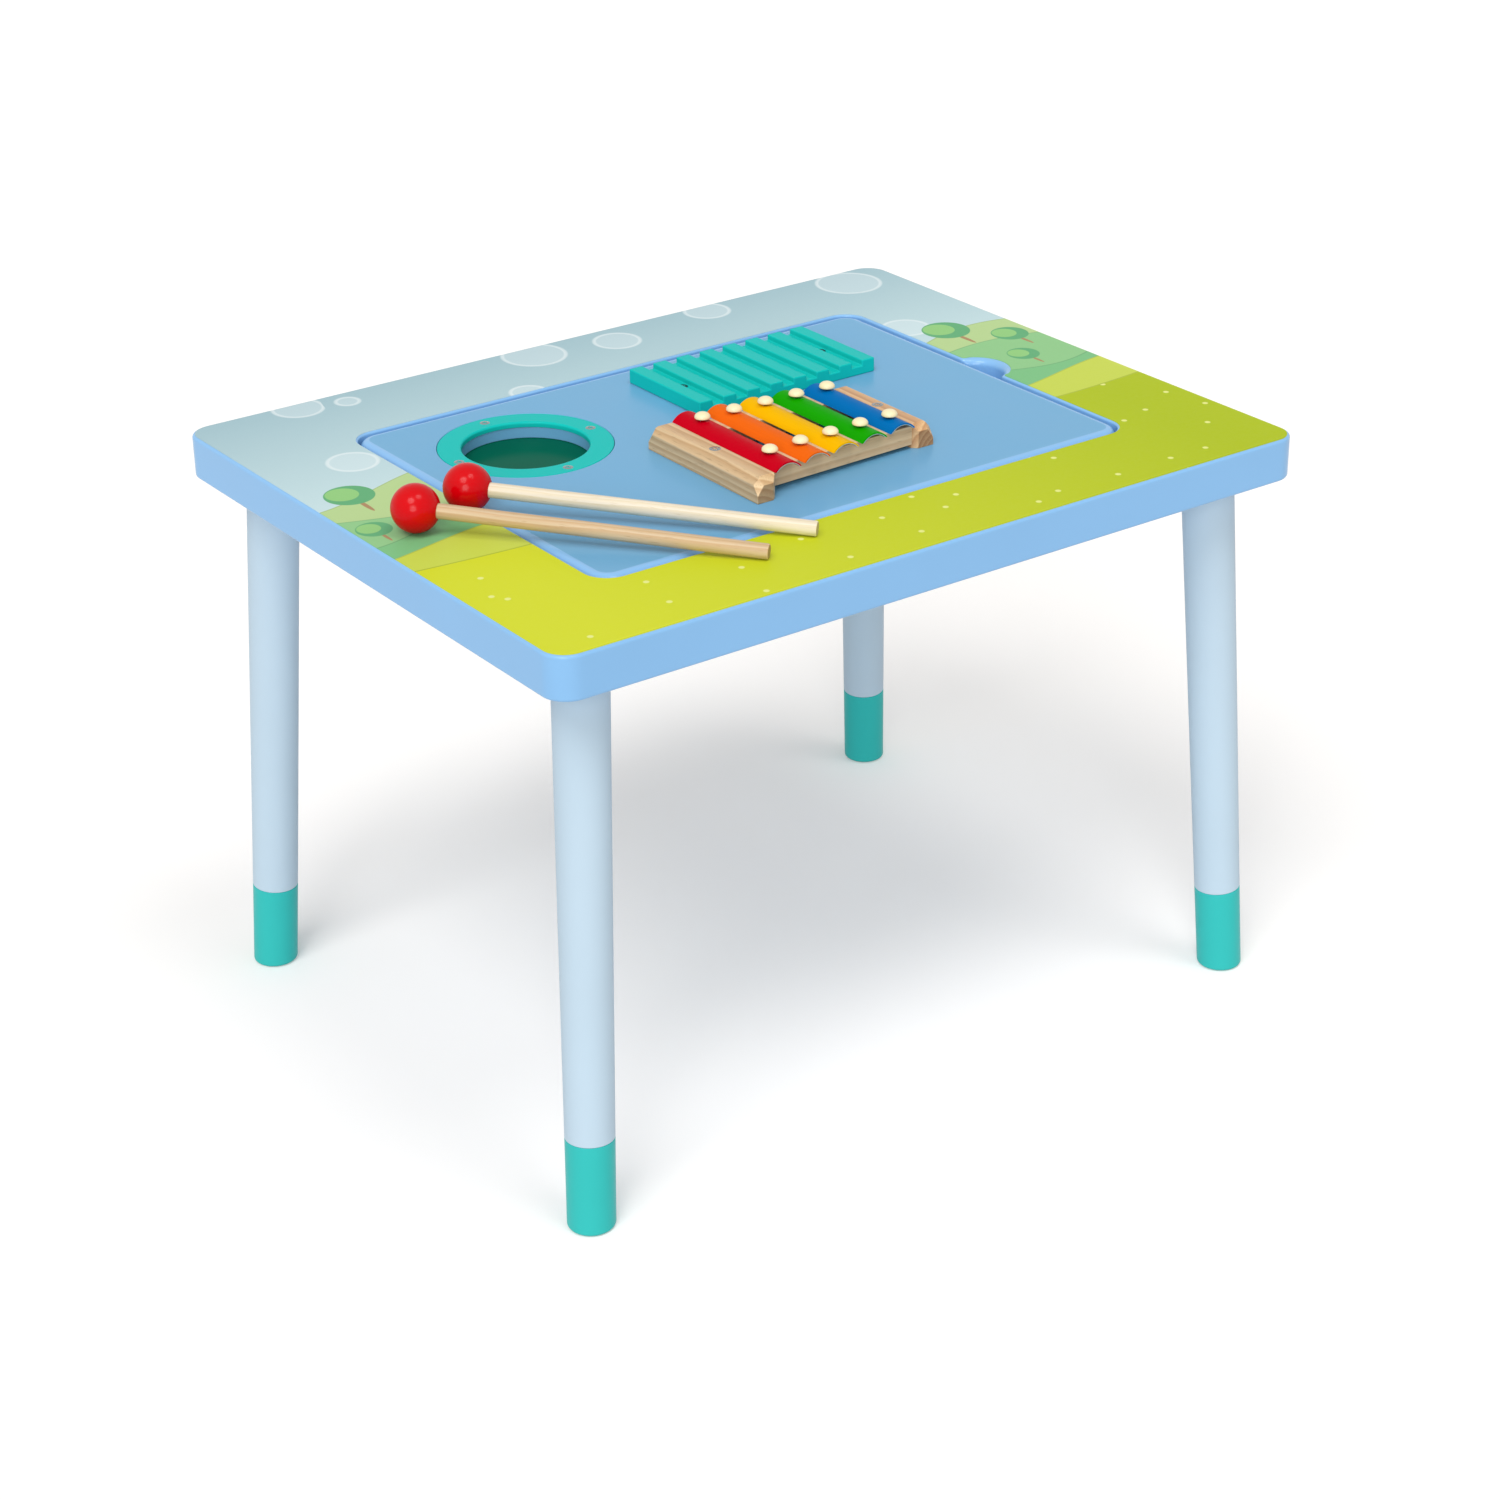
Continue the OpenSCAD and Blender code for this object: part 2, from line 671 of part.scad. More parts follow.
// A domed cap with a short collar, pushed on the end of a pin
module key_caps() {
    collar_h = cap_h / 6;
    dome_h = cap_h - collar_h;
    dome_r = (cap_d * cap_d / 4 + dome_h * dome_h) / (2 * dome_h);
    color(cream) at_pins() translate([0, 0, cap_bottom - frame_top]) difference() {
        rotate_extrude() {
            square([cap_d / 2, collar_h]);
            intersection() {
                translate([0, cap_h - dome_r]) circle(r = dome_r);
                translate([0, collar_h]) square([cap_d / 2, dome_h]);
            }
        }
        translate([0, 0, -over]) cylinder(d = pin_d + 2 * fit, h = cap_socket + over);
    }
}

// A key: a sheet bent to an arch, standing on its two long edges, with a hole for each pin
module key(i) {
    color(key_colours[i]) difference() {
        translate([xylo_x + key_x(i), xylo_y, key_bottom]) rotate([90, 0, 0])
            linear_extrude(height = key_len(i), center = true) intersection() {
                translate([0, -key_axis_drop]) difference() {
                    circle(r = key_r);
                    circle(r = key_r - key_t);
                }
                translate([-key_w / 2, 0]) square([key_w, key_r]);
            }
        at_pins() cylinder(d = key_hole_d, h = cap_bottom);
    }
}

module key_red() { key(0); }
module key_orange() { key(1); }
module key_yellow() { key(2); }
module key_green() { key(3); }
module key_blue() { key(4); }

// Mallets

// Puts a mallet's axis in place: its head's middle at the origin and its stick along +X
module at_mallet(from_left, from_front, turn) {
    translate([-table_l / 2 + from_left, -table_w / 2 + from_front, mallet_z])
        rotate([0, mallet_tilt, turn]) children();
}

// A ball turned about the stick's axis, with the socket for the stick
module mallet_head() {
    color(red) rotate([0, 90, 0]) rotate_extrude() difference() {
        circle(r = head_r);
        translate([-head_d, -head_d]) square([head_d, 2 * head_d]);
        translate([-over, head_r - stick_socket]) square([over + stick_r + fit, stick_socket + over]);
    }
}

// A dowel with a small rounding at its free end
module mallet_stick(tone) {
    end_r = stick_d / 8;
    start = head_r - stick_socket + fit;
    color(tone) translate([start, 0, 0]) rotate([0, 90, 0]) rotate_extrude() {
        square([stick_r, mallet_l - start - end_r]);
        square([stick_r - end_r, mallet_l - start]);
        translate([stick_r - end_r, mallet_l - start - end_r]) circle(r = end_r);
    }
}

module front_mallet() { at_mallet(front_head_from_left, front_head_from_front, front_angle) children(); }
module rear_mallet() { at_mallet(rear_head_from_left, rear_head_from_front, rear_angle) children(); }
module front_mallet_head() { front_mallet() mallet_head(); }
module front_mallet_stick() { front_mallet() mallet_stick(wood); }
module rear_mallet_head() { rear_mallet() mallet_head(); }
module rear_mallet_stick() { rear_mallet() mallet_stick(pale_wood); }

top_frame();
top_print();
leg_inserts();
leg_bolts();
leg_front_left();
leg_front_right();
leg_back_left();
leg_back_right();
foot_front_left();
foot_front_right();
foot_back_left();
foot_back_right();
sensory_bin();
lid_panel();
drum_ring();
drum_skin();
drum_clamp_ring();
drum_screws();
scraper_block();
scraper_screws();
xylophone_left_rail();
xylophone_right_rail();
xylophone_front_bar();
xylophone_back_bar();
xylophone_screws();
key_pins();
key_caps();
key_red();
key_orange();
key_yellow();
key_green();
key_blue();
front_mallet_head();
front_mallet_stick();
rear_mallet_head();
rear_mallet_stick();
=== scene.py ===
import math

import bmesh
import bpy
import numpy as np
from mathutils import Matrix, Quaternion, Vector


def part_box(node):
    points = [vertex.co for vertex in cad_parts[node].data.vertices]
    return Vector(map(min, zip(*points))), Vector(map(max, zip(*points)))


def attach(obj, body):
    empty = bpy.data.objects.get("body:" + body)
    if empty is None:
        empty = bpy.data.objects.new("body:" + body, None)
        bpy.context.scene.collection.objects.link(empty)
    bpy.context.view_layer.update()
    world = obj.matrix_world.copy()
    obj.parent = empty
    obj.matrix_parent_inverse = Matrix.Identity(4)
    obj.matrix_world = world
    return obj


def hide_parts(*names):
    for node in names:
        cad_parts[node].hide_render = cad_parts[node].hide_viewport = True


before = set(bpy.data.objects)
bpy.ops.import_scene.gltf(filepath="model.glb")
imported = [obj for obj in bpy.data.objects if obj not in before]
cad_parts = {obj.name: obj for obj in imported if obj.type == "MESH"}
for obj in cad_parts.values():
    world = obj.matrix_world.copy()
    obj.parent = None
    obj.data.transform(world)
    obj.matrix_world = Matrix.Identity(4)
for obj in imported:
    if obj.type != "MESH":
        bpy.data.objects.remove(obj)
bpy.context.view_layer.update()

# Shapes are worked out in millimetres, with +Z up and -Y the player's side, and put into metres at
# the end.
MM = 0.001
TABLE_L = 600.0
TABLE_W = 472.0
CORNER_R = 18.0
EDGE_R = 2.0
OPENING_L = 431.0
OPENING_W = 310.0
OPENING_R = 16.5
RIM_R = 1.5
THROUGH_L = 407.0
THROUGH_W = 286.0
THROUGH_R = 26.0
LEDGE_Z = 399.3
NOTCH_X = 210.0
NOTCH_R = 20.0
NOTCH_RIM_R = 5.0
NOTCH_FILLET = 8.0
LEG_TOP = np.array([256.5, 192.5])
LEG_FLOOR = np.array([277.0, 213.0])
LEG_TOP_R = 18.25
LEG_FLOOR_R = 16.0
FOOT_LENGTH = 64.0
BIN_L = 399.0
BIN_W = 278.0
BIN_R = 22.0
BIN_WALL = 2.5
BIN_FLOOR_R = 9.0
FLANGE = 3.0
LID_R = 15.0
DRUM = np.array([-127.0, 70.0])
DRUM_HOLE_R = 44.0
RING_SEAT_R = 60.3
RING_SEAT_DEPTH = 4.0
RING_OUTER_R = 60.0
RING_INNER_R = 43.5
SKIN_R = 59.0
SKIN_CROWN = 0.15
DRUM_SCREW_R = 52.55
XYLOPHONE = np.array([12.8, -50.5])
PIN_OFFSET = 36.25
PIN_R = 1.3
PIN_ROWS_CLOSE = 3.5
XYLOPHONE_SPAN = 102
BAR_HALF = 11.0
TENON = 5.5


def millimetres(node):
    """Lowest and highest corner of a CAD node in millimetres."""
    low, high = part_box(node)
    return np.array(low) / MM, np.array(high) / MM


FRAME_BOTTOM, FRAME_TOP = (corner[2] for corner in millimetres("top_frame"))
PRINT_TOP = millimetres("top_print")[1][2]

# Outlines and profiles

ARC_STEPS = 15
NOTCH_STEPS = 41
FILLET_STEPS = 11
SUPPORT = 0.25
SIDE = np.concatenate([[0.006], np.linspace(0.02, 0.98, 49), [0.994]])
HALF_SIDE = np.concatenate([[0.01], np.linspace(0.04, 0.96, 21), [0.99]])


def arc(centre, radius, start, end, steps):
    """Points of a circle's arc: centre plus radius times cosine and sine of an angle, in degrees,
    from start to end."""
    turn = np.radians(np.linspace(start, end, steps))
    return np.array(centre) + radius * np.stack([np.cos(turn), np.sin(turn)], axis=1)


def filleted(corners, radii, closed=False, steps=7, support=SUPPORT):
    """Path or closed polygon with rounded corners. At each corner the circle that touches both
    sides replaces the point: its centre lies on the bisector at radius over sine of the half
    angle, and it starts at radius over tangent of the half angle from the corner. A support point
    on each side keeps the flats flat."""
    corners = np.array(corners, float)
    middle = corners if closed else corners[1:-1]
    before = np.roll(corners, 1, axis=0) if closed else corners[:-2]
    after = np.roll(corners, -1, axis=0) if closed else corners[2:]
    to_before = before - middle
    to_after = after - middle
    to_before /= np.linalg.norm(to_before, axis=1, keepdims=True)
    to_after /= np.linalg.norm(to_after, axis=1, keepdims=True)
    half = np.arccos(np.clip((to_before * to_after).sum(1), -1, 1)) / 2
    radii = np.array(radii, float)
    start = radii / np.tan(half)
    bisector = to_before + to_after
    bisector /= np.linalg.norm(bisector, axis=1, keepdims=True)
    centre = middle + bisector * (radii / np.sin(half))[:, None]
    first = middle + to_before * start[:, None] - centre
    last = middle + to_after * start[:, None] - centre
    first_turn = np.arctan2(first[:, 1], first[:, 0])
    sweep = (np.arctan2(last[:, 1], last[:, 0]) - first_turn + np.pi) % (2 * np.pi) - np.pi
    turn = first_turn[:, None] + sweep[:, None] * np.linspace(0, 1, steps)
    circle = np.stack([np.cos(turn), np.sin(turn)], axis=-1)
    round_part = centre[:, None] + radii[:, None, None] * circle
    lead = (middle + to_before * (start + support)[:, None])[:, None]
    trail = (middle + to_after * (start + support)[:, None])[:, None]
    path = np.concatenate([lead, round_part, trail], axis=1).reshape(-1, 2)
    return path if closed else np.concatenate([corners[:1], path, corners[-1:]])


def notch_path():
    """The finger notch from -Y to +Y: a fillet, the notch's own arc and a fillet, each point with
    its normal into the frame. The fillet's centre is one fillet outside the opening's side and one
    outside the notch."""
    fillet_x = OPENING_L / 2 + NOTCH_FILLET
    fillet_y = math.sqrt((NOTCH_R + NOTCH_FILLET) ** 2 - (fillet_x - NOTCH_X) ** 2)
    lean = math.degrees(math.atan2(fillet_y, fillet_x - NOTCH_X))
    low = arc((fillet_x, -fillet_y), NOTCH_FILLET, 180, 180 - lean, FILLET_STEPS)
    high = arc((fillet_x, fillet_y), NOTCH_FILLET, 180 + lean, 180, FILLET_STEPS)
    bowl = arc((NOTCH_X, 0), NOTCH_R, -lean, lean, NOTCH_STEPS)[1:-1]
    into_frame = np.concatenate([
        (np.array([fillet_x, -fillet_y]) - low) / NOTCH_FILLET,
        (bowl - np.array([NOTCH_X, 0])) / NOTCH_R,
        (np.array([fillet_x, fillet_y]) - high) / NOTCH_FILLET,
    ])
    return np.concatenate([low, bowl, high]), into_frame


def plan_outline(length, width, radius, notched=False):
    """Rectangle with round corners, counter-clockwise from its -Y, +X corner, as points and
    outward normals: straight points along each side, a quarter circle at each corner, and the
    finger notch in the +X side."""
    x = length / 2
    y = width / 2
    notch, notch_ways = notch_path()
    if not notched:
        notch = np.stack([np.full(len(notch), x), notch[:, 1]], axis=1)
        notch_ways = np.tile([1.0, 0.0], (len(notch), 1))
    run = (y - radius - notch[-1, 1]) * HALF_SIDE
    lower = np.stack([np.full(len(HALF_SIDE), x), run - (y - radius)], axis=1)
    upper = lower[::-1] * [1, -1]
    along_x = (x - radius) * (2 * SIDE - 1)
    along_y = (y - radius) * (2 * SIDE - 1)
    back = np.stack([-along_x, np.full(len(SIDE), y)], axis=1)
    left = np.stack([np.full(len(SIDE), -x), -along_y], axis=1)
    front = np.stack([along_x, np.full(len(SIDE), -y)], axis=1)
    centres = np.array([[1, 1], [-1, 1], [-1, -1], [1, -1]]) * [x - radius, y - radius]
    unit = [arc((0, 0), 1, start, start + 90, ARC_STEPS) for start in (0, 90, 180, 270)]
    bends = [centre + radius * quarter for centre, quarter in zip(centres, unit)]
    points = np.concatenate([
        lower, notch, upper, bends[0], back, bends[1], left, bends[2], front, bends[3]])
    ways = [np.tile(way, (len(SIDE), 1)) for way in ([0.0, 1.0], [-1.0, 0.0], [0.0, -1.0])]
    right = np.tile([1.0, 0.0], (len(HALF_SIDE), 1))
    normals = np.concatenate([
        right, notch_ways, right, unit[0], ways[0], unit[1], ways[1], unit[2], ways[2], unit[3]])
    return points, normals


def rim_radius(count):
    """Radius of the opening's rounded rim at each point of its outline: one radius along the
    sides, which grows over each fillet by a smooth step to the wider one of the finger notch."""
    step = np.linspace(0, 1, FILLET_STEPS)
    grow = step * step * (3 - 2 * step)
    notch = np.concatenate([grow, np.ones(NOTCH_STEPS - 2), grow[::-1]])
    share = np.zeros(count)
    share[len(HALF_SIDE):len(HALF_SIDE) + len(notch)] = notch
    return RIM_R + (NOTCH_RIM_R - RIM_R) * share


def carried(outline, profile):
    """A profile carried round an outline: each profile point gives how far the outline moves along
    its normals and the height at which that ring of points lies, as one number or as one for each
    point of the outline."""
    points, normals = outline
    offset, height = (
        np.stack([np.broadcast_to(pair[i], (len(points),)) for pair in profile]) for i in (0, 1))
    plan = points[None] + offset[:, :, None] * normals[None]
    return np.concatenate([plan, height[:, :, None]], axis=2)


def turned(profile, origin, axis=(0, 0, 1), segments=96):
    """Surface of revolution: the profile's first number is the distance from the axis, its second
    the place along it, and each point goes round the axis as cosine and sine of equal steps of
    angle."""
    profile = np.array(profile, float)
    axis = np.array(axis, float) / np.linalg.norm(axis)
    side = np.cross([0.0, 1.0, 0.0], axis)
    side /= np.linalg.norm(side)
    other = np.cross(axis, side)
    turn = np.linspace(0, 2 * np.pi, segments, endpoint=False)
    ring = np.cos(turn)[:, None] * side + np.sin(turn)[:, None] * other
    reach, along = profile[:, 0, None, None], profile[:, 1, None, None]
    return np.array(origin, float) + along * axis + reach * ring[None]


# Meshes

SHARP_ANGLE = math.radians(38)
BEVEL_ANGLE = math.radians(15)
WELD = 2e-6


def surface(points, wrap_rows=False, wrap_columns=True, caps=False, finish=0):
    """One grid of points with how it closes: rows or columns that join up, and flat caps on its
    first and last row."""
    return {"points": points, "wraps": (wrap_rows, wrap_columns), "caps": caps, "finish": finish}


def grid_faces(rows, columns, wrap_rows, wrap_columns):
    """Quads of a grid whose points are numbered row by row: each joins a point with its neighbours
    in the next column and the next row, and a wrapped direction joins its last line to its
    first."""
    row, column = np.meshgrid(
        np.arange(rows - (not wrap_rows)), np.arange(columns - (not wrap_columns)), indexing="ij")
    next_row = (row + 1) % rows
    next_column = (column + 1) % columns
    corners = [row * columns + column, row * columns + next_column,
               next_row * columns + next_column, next_row * columns + column]
    return np.stack(corners, axis=-1).reshape(-1, 4)


def make_piece(name, surfaces, finishes, body, node, bevel=0.0):
    """Joins grids into one closed mesh in metres, welds its seams, turns its faces outwards and
    marks its sharp edges. The piece rides on a body, stands for a CAD node and takes the
    finishes it is given."""
    points = []
    faces = []
    finish = []
    start = 0
    for part in surfaces:
        rows, columns = part["points"].shape[:2]
        end = start + rows * columns
        quads = (grid_faces(rows, columns, *part["wraps"]) + start).tolist()
        if part["caps"]:
            quads.append(list(range(start, start + columns)))
            quads.append(list(range(end - 1, end - columns - 1, -1)))
        points.append(part["points"].reshape(-1, 3))
        faces += quads
        finish += [part["finish"]] * len(quads)
        start = end
    mesh = bpy.data.meshes.new(name)
    mesh.from_pydata((np.concatenate(points) * MM).tolist(), [], faces)
    mesh.polygons.foreach_set("material_index", finish)
    mesh.polygons.foreach_set("use_smooth", [True] * len(faces))
    welded = bmesh.new()
    welded.from_mesh(mesh)
    bmesh.ops.remove_doubles(welded, verts=welded.verts, dist=WELD)
    bmesh.ops.dissolve_degenerate(welded, edges=welded.edges, dist=WELD / 4)
    bmesh.ops.recalc_face_normals(welded, faces=welded.faces)
    welded.to_mesh(mesh)
    welded.free()
    piece = bpy.data.objects.new(name, mesh)
    bpy.context.scene.collection.objects.link(piece)
    for material in finishes:
        mesh.materials.append(material)
    if bevel:
        edges = piece.modifiers.new("soft_edges", "BEVEL")
        edges.width = bevel * MM
        edges.segments = 3
        edges.limit_method = "ANGLE"
        edges.angle_limit = BEVEL_ANGLE
        edges.harden_normals = True
    else:
        mesh.set_sharp_from_angle(angle=SHARP_ANGLE)
    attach(piece, body)
    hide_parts(node)


# Materials

IN_COLOUR = {"data_type": "RGBA"}


def tone(code):
    """sRGB hex code to linear red, green, blue and full alpha, by the sRGB curve."""
    srgb = np.array([int(code[i:i + 2], 16) for i in (1, 3, 5)]) / 255
    linear = np.where(srgb <= 0.04045, srgb / 12.92, ((srgb + 0.055) / 1.055) ** 2.4)
    return (*linear.tolist(), 1.0)


def shaded(code, factor):
    """A hex colour as linear values, lightened or darkened by a factor."""
    red, green, blue, alpha = tone(code)
    return (min(red * factor, 1), min(green * factor, 1), min(blue * factor, 1), alpha)


def per_metre(millimetre_size):
    """Scale of a pattern whose features are about this many millimetres."""
    return 1000.0 / millimetre_size


def feed(tree, node, inputs):
    """Gives each named or numbered input of a node a value or a link. A node given as a value is
    linked by the first of its outputs that is in use."""
    for key, value in inputs.items():
        if isinstance(value, bpy.types.Node):
            value = next(output for output in value.outputs if output.enabled)
        if isinstance(value, bpy.types.NodeSocket):
            tree.links.new(value, node.inputs[key])
        else:
            node.inputs[key].default_value = value


def add_node(tree, kind, settings=None, inputs=None):
    """Adds one shader node, sets its properties, and feeds its inputs."""
    made = tree.nodes.new("ShaderNode" + kind)
    for key, value in (settings or {}).items():
        setattr(made, key, value)
    feed(tree, made, inputs or {})
    return made


def new_material(name):
    """An empty node material with its output, its shader and object coordinates in metres."""
    material = bpy.data.materials.new(name)
    material.use_nodes = True
    tree = material.node_tree
    tree.nodes.clear()
    shader = add_node(tree, "BsdfPrincipled")
    add_node(tree, "OutputMaterial", None, {"Surface": shader})
    place = add_node(tree, "TexCoord").outputs["Object"]
    return material, tree, shader, place


def sprayed_paint(name, code, roughness, sheen, coat=0.0, peel=0.02, cloud=0.03):
    """Spray paint on sanded board or turned wood: an even colour with faint clouds about 70 mm
    wide, and an orange peel that breaks up the highlights. The real peel is about 1 mm; it is
    drawn at 2.5 mm to show."""
    material, tree, shader, place = new_material(name)
    clouds = add_node(tree, "TexNoise", None, {
        "Vector": place, "Scale": per_metre(70), "Detail": 3.0})
    grain = add_node(tree, "TexNoise", None, {
        "Vector": place, "Scale": per_metre(2.5), "Detail": 2.0})
    feed(tree, shader, {
        "Base Color": add_node(tree, "Mix", IN_COLOUR, {
            "Factor": clouds, 6: shaded(code, 1 - cloud), 7: shaded(code, 1 + cloud)}),
        "Roughness": add_node(tree, "MapRange", None, {
            "Value": clouds, "From Min": 0.3, "From Max": 0.7,
            "To Min": roughness - 0.04, "To Max": roughness + 0.04}),
        "Normal": add_node(tree, "Bump", None, {
            "Height": grain, "Strength": 0.5, "Distance": peel * MM}),
        "Specular IOR Level": sheen, "Coat Weight": coat, "Coat Roughness": 0.16})
    return material


def moulded_plastic(name, code, roughness, grain_mm, grain_depth):
    """Injection moulded plastic: one colour right through, with the fine spark-eroded grain of its
    mould, which gives a soft even sheen."""
    material, tree, shader, place = new_material(name)
    grain = add_node(tree, "TexNoise", None, {
        "Vector": place, "Scale": per_metre(grain_mm), "Detail": 4.0})
    flow = add_node(tree, "TexNoise", None, {
        "Vector": place, "Scale": per_metre(40), "Detail": 2.0})
    feed(tree, shader, {
        "Base Color": add_node(tree, "Mix", IN_COLOUR, {
            "Factor": flow, 6: shaded(code, 0.975), 7: shaded(code, 1.025)}),
        "Roughness": add_node(tree, "MapRange", None, {
            "Value": grain, "To Min": roughness - 0.08, "To Max": roughness + 0.08}),
        "Normal": add_node(tree, "Bump", None, {
            "Height": grain, "Strength": 0.6, "Distance": grain_depth * MM}),
        "IOR": 1.5})
    return material


def lacquered_wood(name, early, late, fleck, heart, grain, ring_mm, contrast):
    """Planed wood under clear lacquer. Growth rings lie round a heart line: the ring's phase is
    the distance from that line, bent by noise, over the ring width. Fibres are noise stretched 30
    times along the grain, and short dark flecks are pores. Seen from the end, the same rings
    become arcs, and cut fibres are darker there. Faces cut aslant to the grain are painted paler,
    a painted highlight where the chamfers catch the light."""
    material, tree, shader, place = new_material(name)
    turn = Vector(grain).to_track_quat("X", "Z").to_euler()
    local = add_node(tree, "Mapping", {"vector_type": "TEXTURE"}, {
        "Vector": place, "Location": tuple(value * MM for value in heart), "Rotation": turn})
    facing = add_node(tree, "TexCoord").outputs["Normal"]
    along = add_node(tree, "VectorMath", {"operation": "DOT_PRODUCT"}, {
        0: facing, 1: tuple(Vector(grain).normalized())})
    cut = add_node(tree, "Math", {"operation": "ABSOLUTE"}, {0: along})
    # How a face turns to the grain sets its tone: end faces darker as cut end grain, and aslant
    # faces painted paler as a painted highlight on the chamfers.
    across = add_node(tree, "ValToRGB", None, {"Fac": cut})
    across.color_ramp.elements[0].position = 0.3
    across.color_ramp.elements[0].color = (0.8, 0.8, 0.8, 1)
    across.color_ramp.elements[1].position = 0.95
    across.color_ramp.elements[1].color = (0.54, 0.48, 0.42, 1)
    aslant_painted_highlight = across.color_ramp.elements.new(0.6)
    aslant_painted_highlight.color = (1, 1, 0.98, 1)
    drift = add_node(tree, "Mapping", None, {"Vector": local, "Scale": (6.0, 40.0, 40.0)})
    wander = add_node(tree, "TexNoise", None, {"Vector": drift, "Scale": 1.0, "Detail": 2.0})
    apart = add_node(tree, "SeparateXYZ", None, {"Vector": local})
    flat = add_node(tree, "CombineXYZ", None, {"Y": apart.outputs["Y"], "Z": apart.outputs["Z"]})
    reach = add_node(tree, "VectorMath", {"operation": "LENGTH"}, {0: flat})
    bent = add_node(tree, "Math", {"operation": "MULTIPLY_ADD"}, {0: wander, 1: 0.008, 2: reach})
    phase = add_node(tree, "Math", {"operation": "MULTIPLY"}, {0: bent, 1: per_metre(ring_mm)})
    ring = add_node(tree, "Math", {"operation": "FRACT"}, {0: phase})
    rings = add_node(tree, "ValToRGB", None, {"Fac": ring})
    rings.color_ramp.elements[0].color = tone(early)
    rings.color_ramp.elements[1].position = 0.78
    rings.color_ramp.elements[1].color = tone(late)
    ending = rings.color_ramp.elements.new(0.97)
    ending.color = tone(early)
    stretched = add_node(tree, "Mapping", None, {
        "Vector": local, "Scale": (per_metre(45), per_metre(1.5), per_metre(1.5))})
    fibres = add_node(tree, "TexNoise", None, {
        "Vector": stretched, "Scale": 1.0, "Detail": 4.0, "Roughness": 0.65})
    fibre_tone = add_node(tree, "MapRange", None, {
        "Value": fibres, "From Min": 0.3, "From Max": 0.7,
        "To Min": 1 - contrast, "To Max": 1 + contrast})
    grained = add_node(tree, "VectorMath", {"operation": "SCALE"}, {
        0: rings, "Scale": fibre_tone})
    pores = add_node(tree, "Mapping", None, {
        "Vector": local, "Scale": (per_metre(9), per_metre(0.9), per_metre(0.9))})
    pore_noise = add_node(tree, "TexNoise", None, {"Vector": pores, "Scale": 1.0, "Detail": 1.0})
    pore_mask = add_node(tree, "MapRange", None, {
        "Value": pore_noise, "From Min": 0.62, "From Max": 0.76, "To Min": 0.0, "To Max": 0.55})
    planed = add_node(tree, "Mix", IN_COLOUR, {"Factor": pore_mask, 6: grained, 7: tone(fleck)})
    faces = add_node(tree, "VectorMath", {"operation": "SCALE"}, {0: across, "Scale": 1.25})
    feed(tree, shader, {
        "Base Color": add_node(tree, "VectorMath", {"operation": "MULTIPLY"}, {
            0: planed, 1: faces}),
        "Roughness": add_node(tree, "MapRange", None, {
            "Value": fibres, "To Min": 0.38, "To Max": 0.62}),
        "Normal": add_node(tree, "Bump", None, {
            "Height": fibres, "Strength": 0.5, "Distance": 0.08 * MM})})
    return material


def plated_steel(name, code, roughness, crystal_mm):
    """Zinc plated steel: a bright grey metal whose fine crystals scatter the highlight in small
    patches."""
    material, tree, shader, place = new_material(name)
    crystals = add_node(tree, "TexVoronoi", None, {
        "Vector": place, "Scale": per_metre(crystal_mm)})
    feed(tree, shader, {
        "Base Color": add_node(tree, "Mix", IN_COLOUR, {
            "Factor": crystals, 6: shaded(code, 0.92), 7: shaded(code, 1.06)}),
        "Roughness": add_node(tree, "MapRange", None, {
            "Value": crystals, "To Min": roughness - 0.06, "To Max": roughness + 0.08}),
        "Metallic": 1.0})
    return material


def key_enamel(name, code):
    """Stoved enamel on pressed steel: a strong even colour with a satin coat and a slight drawn
    texture along the key. The draw lines are about 0.3 mm; they are drawn at 1.2 mm to show."""
    material, tree, shader, place = new_material(name)
    drawn = add_node(tree, "Mapping", None, {
        "Vector": place, "Scale": (per_metre(1.2), per_metre(30), per_metre(1.2))})
    lines = add_node(tree, "TexNoise", None, {"Vector": drawn, "Scale": 1.0, "Detail": 2.0})
    feed(tree, shader, {
        "Base Color": add_node(tree, "Mix", IN_COLOUR, {
            "Factor": lines, 6: shaded(code, 0.95), 7: shaded(code, 1.05)}),
        "Roughness": add_node(tree, "MapRange", None, {
            "Value": lines, "To Min": 0.3, "To Max": 0.46}),
        "Normal": add_node(tree, "Bump", None, {
            "Height": lines, "Strength": 0.4, "Distance": 0.02 * MM}),
        "Specular IOR Level": 0.02})
    return material


def stretched_film(name, code):
    """Tensioned polyester drum film: a deep colour, a soft gloss, and the long shallow waves
    that tension leaves, about 35 mm apart. The colour is painted lighter and darker with the waves,
    as painted light and shade on them."""
    material, tree, shader, place = new_material(name)
    waves_and_painted_shade = add_node(tree, "TexNoise", None, {
        "Vector": place, "Scale": per_metre(35), "Detail": 1.0})
    dust = add_node(tree, "TexNoise", None, {
        "Vector": place, "Scale": per_metre(1.5), "Detail": 2.0})
    feed(tree, shader, {
        # The base colour goes lighter and darker with the waves: painted light and shade on the
        # film.
        "Base Color": add_node(tree, "Mix", IN_COLOUR, {
            "Factor": waves_and_painted_shade, 6: shaded(code, 0.9), 7: shaded(code, 1.1)}),
        "Roughness": add_node(tree, "MapRange", None, {
            "Value": dust, "To Min": 0.2, "To Max": 0.26}),
        "Normal": add_node(tree, "Bump", None, {
            "Height": waves_and_painted_shade, "Strength": 0.5, "Distance": 0.4 * MM}),
        "Specular IOR Level": 0.015})
    return material


